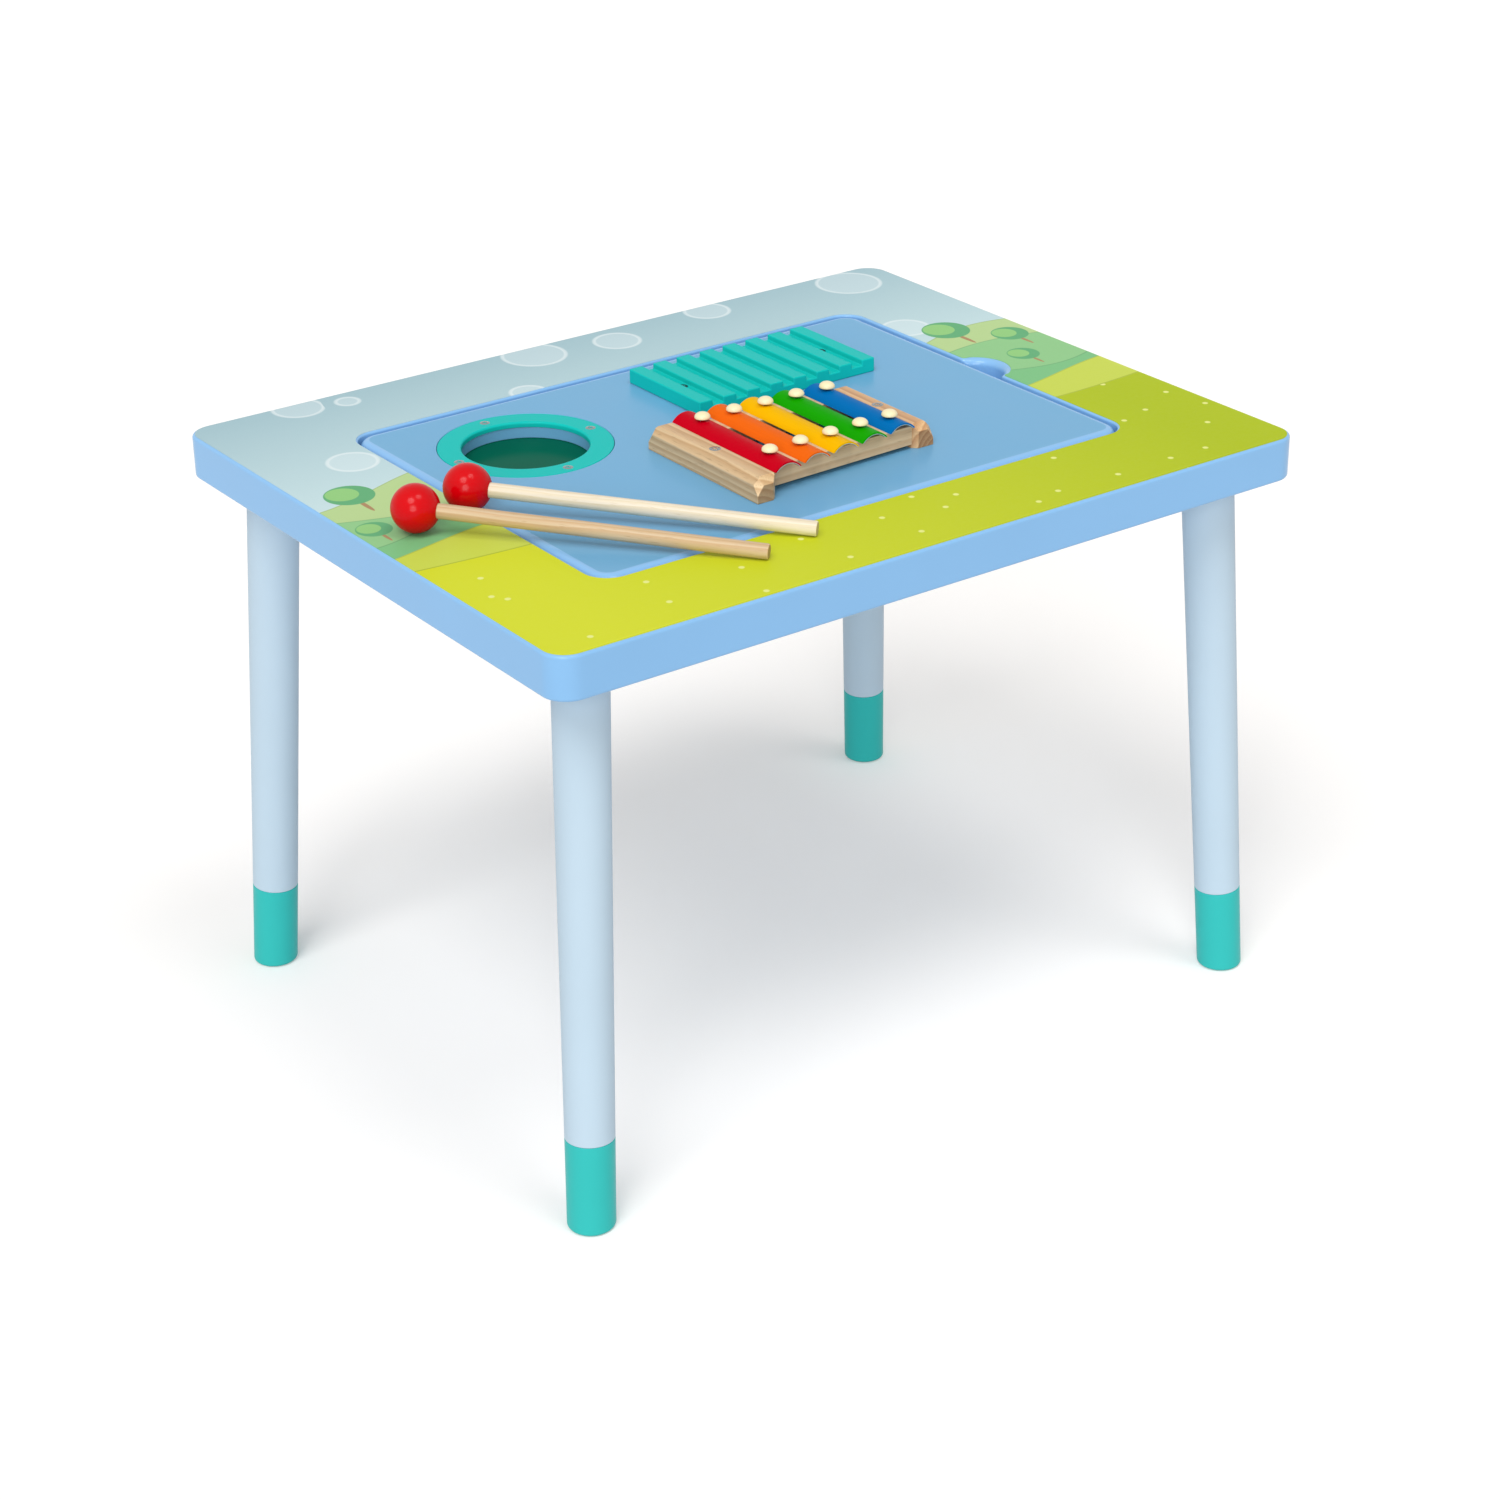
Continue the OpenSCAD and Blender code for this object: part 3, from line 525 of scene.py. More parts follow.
# Each hill of the print: colour, height of its crest, swing, wave length and shift of its sine, in
# millimetres.
HILLS = [
    ("#B4CF8E", 62, 15, 230, 20),
    ("#8EC487", 24, 18, 310, 140),
    ("#7ABC80", -14, 12, 190, 65),
    ("#C4D150", -42, 10, 260, 10),
]
MEADOW = (-72, 7, 420, 90)
# Each round tree of the print: middle of its crown and radius, in millimetres.
TREES = [
    (-268, 62, 17), (-240, 22, 13), (-284, 2, 12), (246, 78, 18), (279, 44, 14), (258, 4, 12)]


def printed_film(name):
    """Satin printed film: sine-edged hills under a pale sky with soft bubbles, a few round trees,
    and a lime meadow in front, under a clear coat whose faint texture softens the highlights. A
    hill fills what lies below its crest height plus swing times the sine of the way along X over
    its wave length, and a disc fills what is nearer to its middle than its radius. A bubble is a
    disc about a scattered point, no wider than the room to its neighbours."""
    material, tree, shader, place = new_material(name)
    apart = add_node(tree, "SeparateXYZ", None, {"Vector": place})
    along = apart.outputs["X"]
    depth = apart.outputs["Y"]
    plan = add_node(tree, "CombineXYZ", None, {"X": along, "Y": depth})

    def laid(over, under, value, start, end, most=1.0):
        """One colour laid over another: its share grows from none to most as a value goes from
        start to end."""
        share = add_node(tree, "MapRange", None, {
            "Value": value, "From Min": start, "From Max": end, "To Max": most})
        return add_node(tree, "Mix", IN_COLOUR, {"Factor": share, 6: under, 7: over})

    def round_spot(code, under, x, y, radius):
        """A disc of one colour about a point of the print, with an edge 0.4 mm soft."""
        away = add_node(tree, "VectorMath", {"operation": "DISTANCE"}, {
            0: plan, 1: (x * MM, y * MM, 0)})
        return laid(tone(code), under, away, (radius + 0.2) * MM, (radius - 0.2) * MM)

    def below_crest(crest, swing, wave, shift):
        """How far a point lies below a hill's sine crest."""
        angle = add_node(tree, "Math", {"operation": "MULTIPLY_ADD"}, {
            0: along, 1: 2 * math.pi * per_metre(wave), 2: 2 * math.pi * shift / wave})
        sine = add_node(tree, "Math", {"operation": "SINE"}, {0: angle})
        edge = add_node(tree, "Math", {"operation": "MULTIPLY_ADD"}, {
            0: sine, 1: swing * MM, 2: crest * MM})
        return add_node(tree, "Math", {"operation": "SUBTRACT"}, {0: edge, 1: depth})

    layer = laid(tone("#9FBDC5"), tone("#C8DFE1"), depth, 0.02, 0.236)
    spacing = {"Vector": plan, "Scale": per_metre(92), "Randomness": 0.8}
    cells = add_node(tree, "TexVoronoi", {"voronoi_dimensions": "2D"}, spacing)
    room = add_node(tree, "TexVoronoi", {
        "voronoi_dimensions": "2D", "feature": "N_SPHERE_RADIUS"}, spacing)
    size = add_node(tree, "SeparateColor", None, {"Color": cells.outputs["Color"]})
    radius = add_node(tree, "MapRange", None, {
        "Value": size.outputs["Red"], "From Min": -0.45, "From Max": 1.0, "To Max": 0.27})
    fitted = add_node(tree, "Math", {"operation": "MINIMUM"}, {0: radius, 1: room})
    inside = add_node(tree, "Math", {"operation": "SUBTRACT"}, {0: fitted, 1: cells})
    from_rim = add_node(tree, "Math", {"operation": "ABSOLUTE"}, {0: inside})
    layer = laid(tone("#E6F0F2"), layer, inside, 0.0, 0.008, 0.3)
    layer = laid(tone("#EEF4F4"), layer, from_rim, 0.022, 0.006, 0.5)
    for code, *crest in HILLS:
        under = below_crest(*crest)
        layer = laid(shaded(code, 0.8), layer, under, -0.2 * MM, 0.2 * MM)
        layer = laid(tone(code), layer, under, 0.9 * MM, 1.3 * MM)
    for x, y, crown in TREES:
        from_trunk = add_node(tree, "VectorMath", {"operation": "SUBTRACT"}, {
            0: plan, 1: (x * MM, (y - 1.25 * crown) * MM, 0)})
        slim = add_node(tree, "VectorMath", {"operation": "MULTIPLY"}, {
            0: from_trunk, 1: (7.0, 1.0, 0.0)})
        trunk = add_node(tree, "VectorMath", {"operation": "LENGTH"}, {0: slim})
        layer = laid(tone("#A9855E"), layer, trunk, 0.72 * crown * MM, 0.68 * crown * MM)
        layer = round_spot("#5FA873", layer, x, y, crown)
        layer = round_spot("#8FC67A", layer, x - 0.2 * crown, y + 0.22 * crown, 0.66 * crown)
    grass = laid(tone("#ABBC0E"), tone("#CFD52C"), along, -0.25, 0.25)
    dots = add_node(tree, "TexVoronoi", {"voronoi_dimensions": "2D"}, {
        "Vector": plan, "Scale": per_metre(46), "Randomness": 0.9})
    grass = laid(tone("#E2E78C"), grass, dots, 0.05, 0.035)
    under = below_crest(*MEADOW)
    layer = laid(tone("#A8B63A"), layer, under, -0.2 * MM, 0.2 * MM)
    layer = laid(grass, layer, under, 1.1 * MM, 1.5 * MM)
    grain = add_node(tree, "TexNoise", None, {
        "Vector": place, "Scale": per_metre(3), "Detail": 2.0})
    feed(tree, shader, {
        "Base Color": layer,
        "Roughness": add_node(tree, "MapRange", None, {
            "Value": grain, "To Min": 0.4, "To Max": 0.54}),
        "Normal": add_node(tree, "Bump", None, {
            "Height": grain, "Strength": 0.4, "Distance": 0.012 * MM}),
        "Specular IOR Level": 0.08})
    return material


ALONG_X = (1.0, 0.0, 0.0)
ALONG_Y = (0.0, 1.0, 0.0)
FRAME_PAINT = sprayed_paint("sprayed_blue_paint", "#84B6E2", 0.4, 0.1, coat=0.5)
LID_PAINT = sprayed_paint("sprayed_lid_paint", "#6BA7CE", 0.4, 0.12, coat=0.15)
LEG_PAINT = sprayed_paint("turned_leg_paint", "#B9CDDB", 0.45, 0.15)
FOOT_PAINT = sprayed_paint("dipped_foot_paint", "#34B8B3", 0.38, 0.12)
TEAL_PAINT = sprayed_paint("sprayed_teal_paint", "#12BDB5", 0.34, 0.02, coat=0.06)
HEAD_LACQUER = sprayed_paint(
    "ball_lacquer", "#CC000A", 0.3, 0.02, coat=0.28, peel=0.012, cloud=0.05)
PRINT = printed_film("printed_film")
BIN_PLASTIC = moulded_plastic("moulded_bin_polypropylene", "#DCE9F3", 0.45, 1.4, 0.03)
CAP_PLASTIC = moulded_plastic("moulded_ivory_cap", "#EFE0B4", 0.32, 2.0, 0.01)
DRUM_FILM = stretched_film("polyester_drum_film", "#005D48")
ZINC = plated_steel("zinc_plated_steel", "#8E9496", 0.2, 1.2)
DARK_ZINC = plated_steel("black_zinc_steel", "#4A5254", 0.36, 1.2)
RAW_EDGE = plated_steel("raw_sheared_steel", "#D5D6D4", 0.34, 0.8)
KEY_ENAMELS = {
    "red": key_enamel("red_enamel", "#C0001A"),
    "orange": key_enamel("orange_enamel", "#E86510"),
    "yellow": key_enamel("yellow_enamel", "#EBB200"),
    "green": key_enamel("green_enamel", "#149C00"),
    "blue": key_enamel("blue_enamel", "#0069AE"),
}
LEFT_PINE = lacquered_wood(
    "left_rail_pine", "#D6B88E", "#BC966A", "#A07E58", (-70, -50, 398), ALONG_Y, 4.6, 0.08)
RIGHT_PINE = lacquered_wood(
    "right_rail_pine", "#D8B082", "#B8865A", "#9A7148", (99, -50, 404), ALONG_Y, 4.2, 0.08)
FRONT_PINE = lacquered_wood(
    "front_bar_pine", "#DFBE94", "#CDA77C", "#AE8A62", (15, -98, 400), ALONG_X, 7.0, 0.06)
BACK_PINE = lacquered_wood(
    "back_bar_pine", "#DFBE94", "#CDA77C", "#AE8A62", (15, 3, 402), ALONG_X, 7.0, 0.06)

# Table


def table_frame():
    """The frame's section carried round three outlines: the outside with its two rounded edges,
    the through opening, and the wider pocket with its ledge, finger notch and rounded rim."""
    flat = 12
    outside = filleted([(-flat, FRAME_TOP), (0, FRAME_TOP), (0, FRAME_BOTTOM),
                        (-flat, FRAME_BOTTOM)], [EDGE_R, EDGE_R])
    through = filleted([(6, FRAME_BOTTOM), (0, FRAME_BOTTOM), (0, LEDGE_Z), (6, LEDGE_Z)], [1, 1])
    opening = plan_outline(OPENING_L, OPENING_W, OPENING_R, notched=True)
    rim = rim_radius(len(opening[0]))
    wall = filleted([(-4, LEDGE_Z), (0, LEDGE_Z), (0, FRAME_TOP)], [0.8])[:-1].tolist()
    wall.append((0, FRAME_TOP - rim - SUPPORT))
    turn = np.radians(np.linspace(0, 90, 10))
    lip = [(rim * (1 - math.cos(angle)), FRAME_TOP - rim * (1 - math.sin(angle))) for angle in turn]
    face = [(rim + SUPPORT, FRAME_TOP), (rim + 1, FRAME_TOP)]
    rows = np.concatenate([
        carried(plan_outline(TABLE_L, TABLE_W, CORNER_R), outside),
        carried(plan_outline(THROUGH_L, THROUGH_W, THROUGH_R), through),
        carried(opening, wall + lip + face),
    ])
    make_piece("table_frame", [surface(rows, wrap_rows=True)], [FRAME_PAINT],
               "table", "top_frame")


def table_print():
    """The film between the frame's two rounded edges: its outer and inner outlines at its lower
    and upper face."""
    outside = plan_outline(TABLE_L, TABLE_W, CORNER_R)
    inside = plan_outline(OPENING_L, OPENING_W, OPENING_R, notched=True)
    rim = rim_radius(len(inside[0]))
    rows = np.concatenate([
        carried(outside, [(-EDGE_R, FRAME_TOP), (-EDGE_R, PRINT_TOP)]),
        carried(inside, [(rim, PRINT_TOP), (rim, FRAME_TOP)]),
    ])
    make_piece("table_print", [surface(rows, wrap_rows=True)], [PRINT],
               "table", "top_print")


LEG_SEGMENTS = 96


def leg_line(side):
    """Top of a leg's axis, its direction down to the floor, its length, and how much its radius
    shrinks in each millimetre."""
    top = np.append(LEG_TOP * side, FRAME_BOTTOM)
    floor = np.append(LEG_FLOOR * side, 0.0)
    length = np.linalg.norm(floor - top)
    return top, (floor - top) / length, length, (LEG_TOP_R - LEG_FLOOR_R) / length


def leg_level(side, height, inset):
    """Ring where a leg's cone meets a level plane. A point at distance t down the axis has radius
    top radius less taper times t, so its height is linear in t and is solved for the plane. The
    inset then moves the ring towards the axis in that plane."""
    top, axis, _, taper = leg_line(side)
    around = turned([(1, 0)], (0, 0, 0), axis, LEG_SEGMENTS)[0]
    down = (height - top[2] - LEG_TOP_R * around[:, 2]) / (axis[2] - taper * around[:, 2])
    radius = LEG_TOP_R - taper * down
    ring = top + down[:, None] * axis + radius[:, None] * around
    outward = ring - (top + (height - top[2]) / axis[2] * axis)
    return (ring - inset * outward / np.linalg.norm(outward, axis=1, keepdims=True))[None]


def leg_and_foot(name, side):
    """A turned leg from the frame to its foot and the foot below it, on one tapered cone: level
    cuts under the frame and at the floor, a small round on both sides of the joint, and a larger
    one at the floor."""
    top, axis, length, taper = leg_line(side)
    joint = length - FOOT_LENGTH
    joint_r = LEG_TOP_R - taper * joint
    face_r = joint_r - 6
    ease = 0.6
    gap = 0.05
    shank = filleted([(LEG_TOP_R - taper * 30, 30), (joint_r, joint - gap), (face_r, joint - gap)],
                     [ease])
    leg_rows = np.concatenate([
        leg_level(side, FRAME_BOTTOM, 0), leg_level(side, FRAME_BOTTOM - 1, 0),
        turned(shank, top, axis, LEG_SEGMENTS)])
    make_piece("turned_leg_" + name, [surface(leg_rows, caps=True)], [LEG_PAINT],
               "table", "leg_" + name)
    collar = filleted([(face_r, joint + gap), (joint_r, joint + gap),
                       (joint_r - taper * 40, joint + 40)], [ease])
    round_r = 2.5
    turn = np.radians(np.linspace(0, 90, 8))
    sole = [leg_level(side, round_r * (1 - math.sin(angle)), round_r * (1 - math.cos(angle)))
            for angle in turn]
    foot_rows = np.concatenate([turned(collar, top, axis, LEG_SEGMENTS),
                                leg_level(side, round_r + 0.4, 0)] + sole)
    make_piece("foot_cap_" + name, [surface(foot_rows, caps=True)], [FOOT_PAINT],
               "table", "foot_" + name)


# Bin and lid


def drop_in_bin():
    """A tray with a flange: floor, rounded inner walls, flange and outer walls as one section,
    carried round the outlines of the inside, the flange and the outside, with flat caps for the
    two faces of its floor."""
    low, high = millimetres("sensory_bin")
    base = low[2]
    floor = base + BIN_WALL
    rim = high[2]
    under = rim - FLANGE
    inside = filleted([(-10, floor), (0, floor), (0, rim), (2, rim)], [BIN_FLOOR_R, 1])
    flange = filleted([(-3, rim), (0, rim), (0, under), (-3, under)], [0.8, 0.5])
    outside = filleted([(2, under), (0, under), (0, base), (-13, base)],
                       [0.8, BIN_FLOOR_R + BIN_WALL])
    outer = plan_outline(BIN_L + 2 * BIN_WALL, BIN_W + 2 * BIN_WALL, BIN_R + BIN_WALL)
    rows = np.concatenate([
        carried(plan_outline(BIN_L, BIN_W, BIN_R), inside),
        carried(plan_outline(high[0] - low[0], high[1] - low[1], LID_R), flange),
        carried(outer, outside),
    ])
    make_piece("drop_in_bin", [surface(rows, caps=True)], [BIN_PLASTIC],
               "bin", "sensory_bin")


def music_lid():
    """The lid's section carried round two closed lines: its own outline with rounded edges, and
    circles about the drum for the hole and the seat of the trim ring. Each circle point lies in
    the direction, seen from the drum, of its partner on the outline. The rounded edges are sprayed
    like the frame."""
    low, high = millimetres("lid_panel")
    base, face = low[2], high[2]
    outline = plan_outline(high[0] - low[0], high[1] - low[1], LID_R)
    bearing = np.arctan2(outline[0][:, 1] - DRUM[1], outline[0][:, 0] - DRUM[0])
    around = np.stack([np.cos(bearing), np.sin(bearing)], axis=1)
    centre = (np.tile(DRUM, (len(around), 1)), around)
    seat = face - RING_SEAT_DEPTH
    edge = filleted([(-12, face), (0, face), (0, base), (-12, base)], [6, 2], steps=12)
    hole = filleted([(52, base), (DRUM_HOLE_R, base), (DRUM_HOLE_R, seat), (RING_SEAT_R, seat),
                     (RING_SEAT_R, face), (64, face)], [0.6, 0.5, 0.2, 0.5])
    edge_rows = carried(outline, edge)
    face_rows = np.concatenate([edge_rows[-1:], carried(centre, hole), edge_rows[:2]])
    make_piece("music_lid", [surface(face_rows), surface(edge_rows[1:], finish=1)],
               [LID_PAINT, FRAME_PAINT], "lid", "lid_panel")


# Drum


def drum():
    """The trim ring is a closed profile with a generous round on its inner edge, turned about the
    drum's middle. The skin is a thin disc that falls from its middle with the square of the
    distance, by its crown."""
    low, high = millimetres("drum_ring")
    middle = np.append(DRUM, 0)
    profile = filleted([(RING_INNER_R, low[2]), (RING_OUTER_R, low[2]), (RING_OUTER_R, high[2]),
                        (RING_INNER_R, high[2])], [0.2, 0.2, 0.5, 1.6], closed=True)
    ring = turned(profile, middle, segments=192)
    make_piece("drum_trim_ring", [surface(ring, wrap_rows=True)], [TEAL_PAINT],
               "lid", "drum_ring")
    low, high = millimetres("drum_skin")
    crown_r = SKIN_R - 0.4
    reach = np.linspace(0, crown_r, 24)
    upper = np.stack([reach, high[2] - SKIN_CROWN * (reach / crown_r) ** 2], axis=1)
    lower = np.array([(SKIN_R, high[2] - 0.3), (SKIN_R, low[2]), (0, low[2])])
    skin = turned(np.concatenate([upper, lower]), middle, segments=128)
    make_piece("drum_film", [surface(skin)], [DRUM_FILM], "lid", "drum_skin")


def cross_head_screws(name, places, diameter, length, steel, node):
    """Countersunk screws in the lid: a low domed head whose cross recess is the depth where either
    plan coordinate is within half an arm's width, eased at its sides, over the head's cone and the
    shank."""
    head = diameter
    rings = 22
    segments = 64
    reach = np.linspace(0, head, rings)
    top = turned(np.stack([reach, np.zeros(rings)], axis=1), (0, 0, 0), segments=segments)
    x, y = top[..., 0], top[..., 1]
    far = np.hypot(x, y)
    arm = np.minimum(np.abs(x), np.abs(y))
    across = np.clip((0.13 * head - arm) / (0.04 * head) + 0.5, 0, 1)
    outwards = np.clip((0.62 * head - far) / (0.08 * head), 0, 1)
    top[..., 2] = 0.3 * (1 - (far / head) ** 2) + 0.02 - 0.32 * head * across * outwards
    shank = diameter / 2
    below = turned([(head, -0.15), (shank, -0.55 * diameter), (shank, -length + 1), (0, -length)],
                   (0, 0, 0), segments=segments)
    screw = np.concatenate([top, below])
    make_piece(name, [surface(screw + np.array(place)) for place in places], [steel],
               "lid", node)


def screws():
    """Four screws round the drum ring, one in each end groove of the scraper and one in each
    xylophone rail."""
    ring = [(*DRUM + DRUM_SCREW_R * way, FRAME_TOP) for way in arc((0, 0), 1, 0, 270, 4)]
    cross_head_screws("drum_trim_screws", ring, 3.5, 17, ZINC, "drum_screws")
    for name, steel, slot, node in (
            ("scraper_block_screws", DARK_ZINC, "dark_steel", "scraper_screws"),
            ("xylophone_rail_screws", ZINC, "steel", "xylophone_screws")):
        low, high = millimetres(node)
        diameter = 4
        middle = (low[1] + high[1]) / 2
        pair = [(x, middle, high[2]) for x in (low[0] + diameter, high[0] - diameter)]
        cross_head_screws(name, pair, diameter, high[2] - low[2], steel, node)


# Scraper and xylophone


def ribbed_scraper():
    """A comb outline carried along Y: eight ribs, each four corners, one pitch apart, on a base.
    The edges are rounded after."""
    low, high = millimetres("scraper_block")
    ribs = 8
    rib = 11.2
    groove = 4.0
    pitch = (high[0] - low[0] - rib) / (ribs - 1)
    start = low[0] + pitch * np.arange(ribs)
    x = np.stack([start, start, start + rib, start + rib], axis=1).ravel()
    z = np.tile([high[2] - groove, high[2], high[2], high[2] - groove], ribs)
    comb = np.stack([x, z], axis=1)
    comb[0, 1] = comb[-1, 1] = low[2]
    rows = np.stack([np.insert(comb, 1, value, axis=1) for value in (low[1], high[1])])
    make_piece("ribbed_scraper", [surface(rows, caps=True)], [TEAL_PAINT],
               "lid", "scraper_block", bevel=0.95)


def xylophone_rail(name, side, wood):
    """A rail lofted by the distance of each section from the nearer end. Its top rises over the
    end chamfer, its inner side widens over an upright corner, and its outer side over a corner
    whose cut begins above the foot and grows with height: the side runs straight up to the cut,
    leans in with it, and stops at the plane that cuts the outer top edge. Sections lie where these
    planes meet."""
    node = "xylophone_" + name + "_rail"
    low, high = millimetres(node)
    half = (high[0] - low[0]) / 2
    height = high[2] - low[2]
    length = high[1] - low[1]
    chamfer = 5.0
    cut_from = 5.0
    side_top = height - chamfer
    lean = chamfer / (side_top - cut_from)
    corner = chamfer / (2 - lean)
    from_end = np.array([0, corner, chamfer])
    y = np.concatenate([from_end, length - from_end[::-1]])
    near = np.concatenate([from_end, from_end[::-1]])
    tall = side_top + near
    meet = (side_top - lean * cut_from - near) / (1 - lean)
    shoulder = np.minimum(np.maximum(meet, side_top), tall)
    bend = np.minimum(cut_from + near / lean, shoulder)
    zero = np.zeros_like(near)
    outer_z = np.stack([zero, bend, shoulder, tall], axis=1)
    cut = np.maximum(lean * (outer_z - cut_from) - near[:, None], 0)
    outer_x = np.minimum(half - cut, half + side_top - outer_z)
    inner = half - corner + np.minimum(near, corner)
    x = side * np.column_stack([outer_x, -inner, -inner]) + (low[0] + high[0]) / 2
    z = np.column_stack([outer_z, tall, zero]) + low[2]
    rows = np.stack([x, np.broadcast_to(low[1] + y[:, None], x.shape), z], axis=2)
    make_piece(node + "_wood", [surface(rows, caps=True)], [wood],
               "lid", node, bevel=0.35)


def pin_offset(x):
    """Distance of a pin from the xylophone's middle line, which shrinks from the long key to the
    short one."""
    return PIN_OFFSET - PIN_ROWS_CLOSE * (x - XYLOPHONE[0]) / XYLOPHONE_SPAN


def cross_bar(name, row, wood):
    """A bar between the rails that follows its row of pins: a rectangle section carried from rail
    to rail."""
    node = "xylophone_" + name + "_bar"
    low, high = millimetres(node)
    x = np.array([low[0] + TENON, high[0] - TENON])[:, None]
    y = XYLOPHONE[1] + row * pin_offset(x) + BAR_HALF * np.array([-1, 1, 1, -1])
    z = np.array([low[2], low[2], high[2], high[2]])
    rows = np.stack(np.broadcast_arrays(x, y, z), axis=2)
    make_piece(node + "_wood", [surface(rows, caps=True)], [wood],
               "lid", node, bevel=0.4)


KEYS = ["red", "orange", "yellow", "green", "blue"]
KEY_HALF = 10.7
ARCH_OUTER = 13.5
ARCH_INNER = 12.0
ARCH_DROP = math.sqrt(ARCH_OUTER ** 2 - KEY_HALF ** 2)
ARCH_STEPS = 12
BARE_EDGE = 0.5
HOLE_R = 2.3


def arched(across, y, radius, centre):
    """Point of the arch: sine and cosine of an angle times its radius, about a line along Y below
    the key. The angle runs with across, from -1 to 1, to where this radius meets the level of the
    key's lower edges."""
    angle = across * math.acos(ARCH_DROP / radius)
    return np.stack(
        [centre[0] + radius * np.sin(angle), y, centre[1] + radius * np.cos(angle)], axis=-1)


def xylophone_key(colour):
    """A strip bent to an arch with two pin holes. Along the strip lie an end, a square round a
    hole, the middle, a square and an end. A square's points run from the hole's circle to its four
    sides in straight steps, and every point is then bent: its distance across the strip becomes an
    angle of the arch. The enamel wraps over the edges, and only their lower part is bare."""
    low, high = millimetres("key_" + colour)
    middle = (low + high) / 2
    axis = (middle[0], high[2] - ARCH_OUTER)
    offset = pin_offset(middle[0])
    across = np.linspace(-1, 1, ARCH_STEPS + 1)
    square = KEY_HALF * 1.1
    step = across[:-1]
    one = np.ones(ARCH_STEPS)
    frame_points = np.concatenate([np.stack([step, -one], 1), np.stack([one, step], 1),
                                   np.stack([-step, one], 1), np.stack([-one, -step], 1)])
    circle = frame_points / np.linalg.norm(frame_points, axis=1, keepdims=True) * HOLE_R
    blend = np.linspace(0, 1, 6)[:, None, None]
    patch = circle * (1 - blend) + frame_points * square * blend
    holes = [XYLOPHONE[1] - offset, XYLOPHONE[1] + offset]
    stops = [low[1], *(hole + side * square for hole in holes for side in (-1, 1)), high[1]]
    parts = []
    for radius in (ARCH_OUTER, ARCH_INNER):
        for start, end in (stops[0:2], stops[2:4], stops[4:6]):
            angle, y = np.meshgrid(across, np.array([start, end]))
            parts.append(surface(arched(angle, y, radius, axis), wrap_columns=False))
        for hole in holes:
            bent = arched(patch[..., 0] / square, patch[..., 1] + hole, radius, axis)
            parts.append(surface(bent))
    long_side = np.concatenate([stops] + [hole + square * across for hole in holes])
    long_side = np.unique(long_side.round(6))
    flat = np.concatenate([
        np.stack([across, np.full(len(across), low[1])], 1),
        np.stack([np.ones(len(long_side)), long_side], 1),
        np.stack([-across, np.full(len(across), high[1])], 1),
        np.stack([-np.ones(len(long_side)), long_side[::-1]], 1),
    ])
    bores = [np.stack([circle[:, 0] / square, circle[:, 1] + hole], 1) for hole in holes]
    for edge in [flat] + bores:
        rim = np.stack([arched(edge[:, 0], edge[:, 1], radius, axis)
                        for radius in (ARCH_OUTER, ARCH_INNER + BARE_EDGE, ARCH_INNER)])
        parts.append(surface(rim[:2]))
        parts.append(surface(rim[1:], finish=1))
    make_piece(colour + "_key", parts, [KEY_ENAMELS[colour], RAW_EDGE],
               colour + "_key", "key_" + colour)


def pins_and_caps():
    """Ten pins, each a thin rod, and ten caps, each a flattened ellipse arc for the dome over a
    small round at the rim and a flat underside."""
    low, high = millimetres("key_pins")
    centres = [np.mean(millimetres("key_" + colour), axis=0)[0] for colour in KEYS]
    places = [(x, XYLOPHONE[1] + side * pin_offset(x), 0) for x in centres for side in (-1, 1)]
    rod = filleted([(0, low[2]), (PIN_R, low[2]), (PIN_R, high[2]), (0, high[2])], [0.3, 0.3],
                   steps=4, support=0.1)
    rods = [surface(turned(rod, place, segments=24)) for place in places]
    make_piece("key_pin_rods", rods, [ZINC], "lid", "key_pins")
    low, high = millimetres("key_caps")
    rim = 0.6
    cap_r = 5.5
    dome_h = 0.92 * (high[2] - low[2]) - rim
    bore_r = 1.4
    bore_h = 2.3
    bore = np.array([(0, bore_h), (bore_r, bore_h), (bore_r, 0)])
    under = arc((cap_r - rim, rim), rim, -90, 0, 6)
    dome = arc((0, 0), 1, 0, 90, 16)[1:] * [cap_r, dome_h] + [0, rim]
    profile = np.concatenate([bore, under, dome]) + [0, low[2]]
    caps = [surface(turned(profile, place, segments=40)) for place in places]
    make_piece("key_pin_caps", caps, [CAP_PLASTIC], "lid", "key_caps")


# Mallets

MALLETS = {
    "front": {"head": (-264.5, -18.5), "heading": -48.7, "slot": "stick_wood"},
    "rear": {"head": (-220.0, -8.5), "heading": -48.2, "slot": "pale_stick_wood"},
}
HEAD_Z = 431.2
HEAD_R = 16.0
STICK_R = 5.0
MALLET_L = 229.0
MALLET_TILT = math.asin((HEAD_R - STICK_R) / MALLET_L)


def mallet_line(name):
    """Direction of a mallet's stick away from its ball: level at its heading, then dipped by its
    tilt."""
    heading = math.radians(MALLETS[name]["heading"])
    level = math.cos(MALLET_TILT)
    return (level * math.cos(heading), level * math.sin(heading), -math.sin(MALLET_TILT))


def mallet_wood(name, label, early, late, fleck):
    """Beech for a dowel, with its heart line beside the stick and its grain along it."""
    x, y = MALLETS[name]["head"]
    heart = (x - 14, y - 17, HEAD_Z - 9)
    return lacquered_wood(label, early, late, fleck, heart, mallet_line(name), 3.2, 0.06)


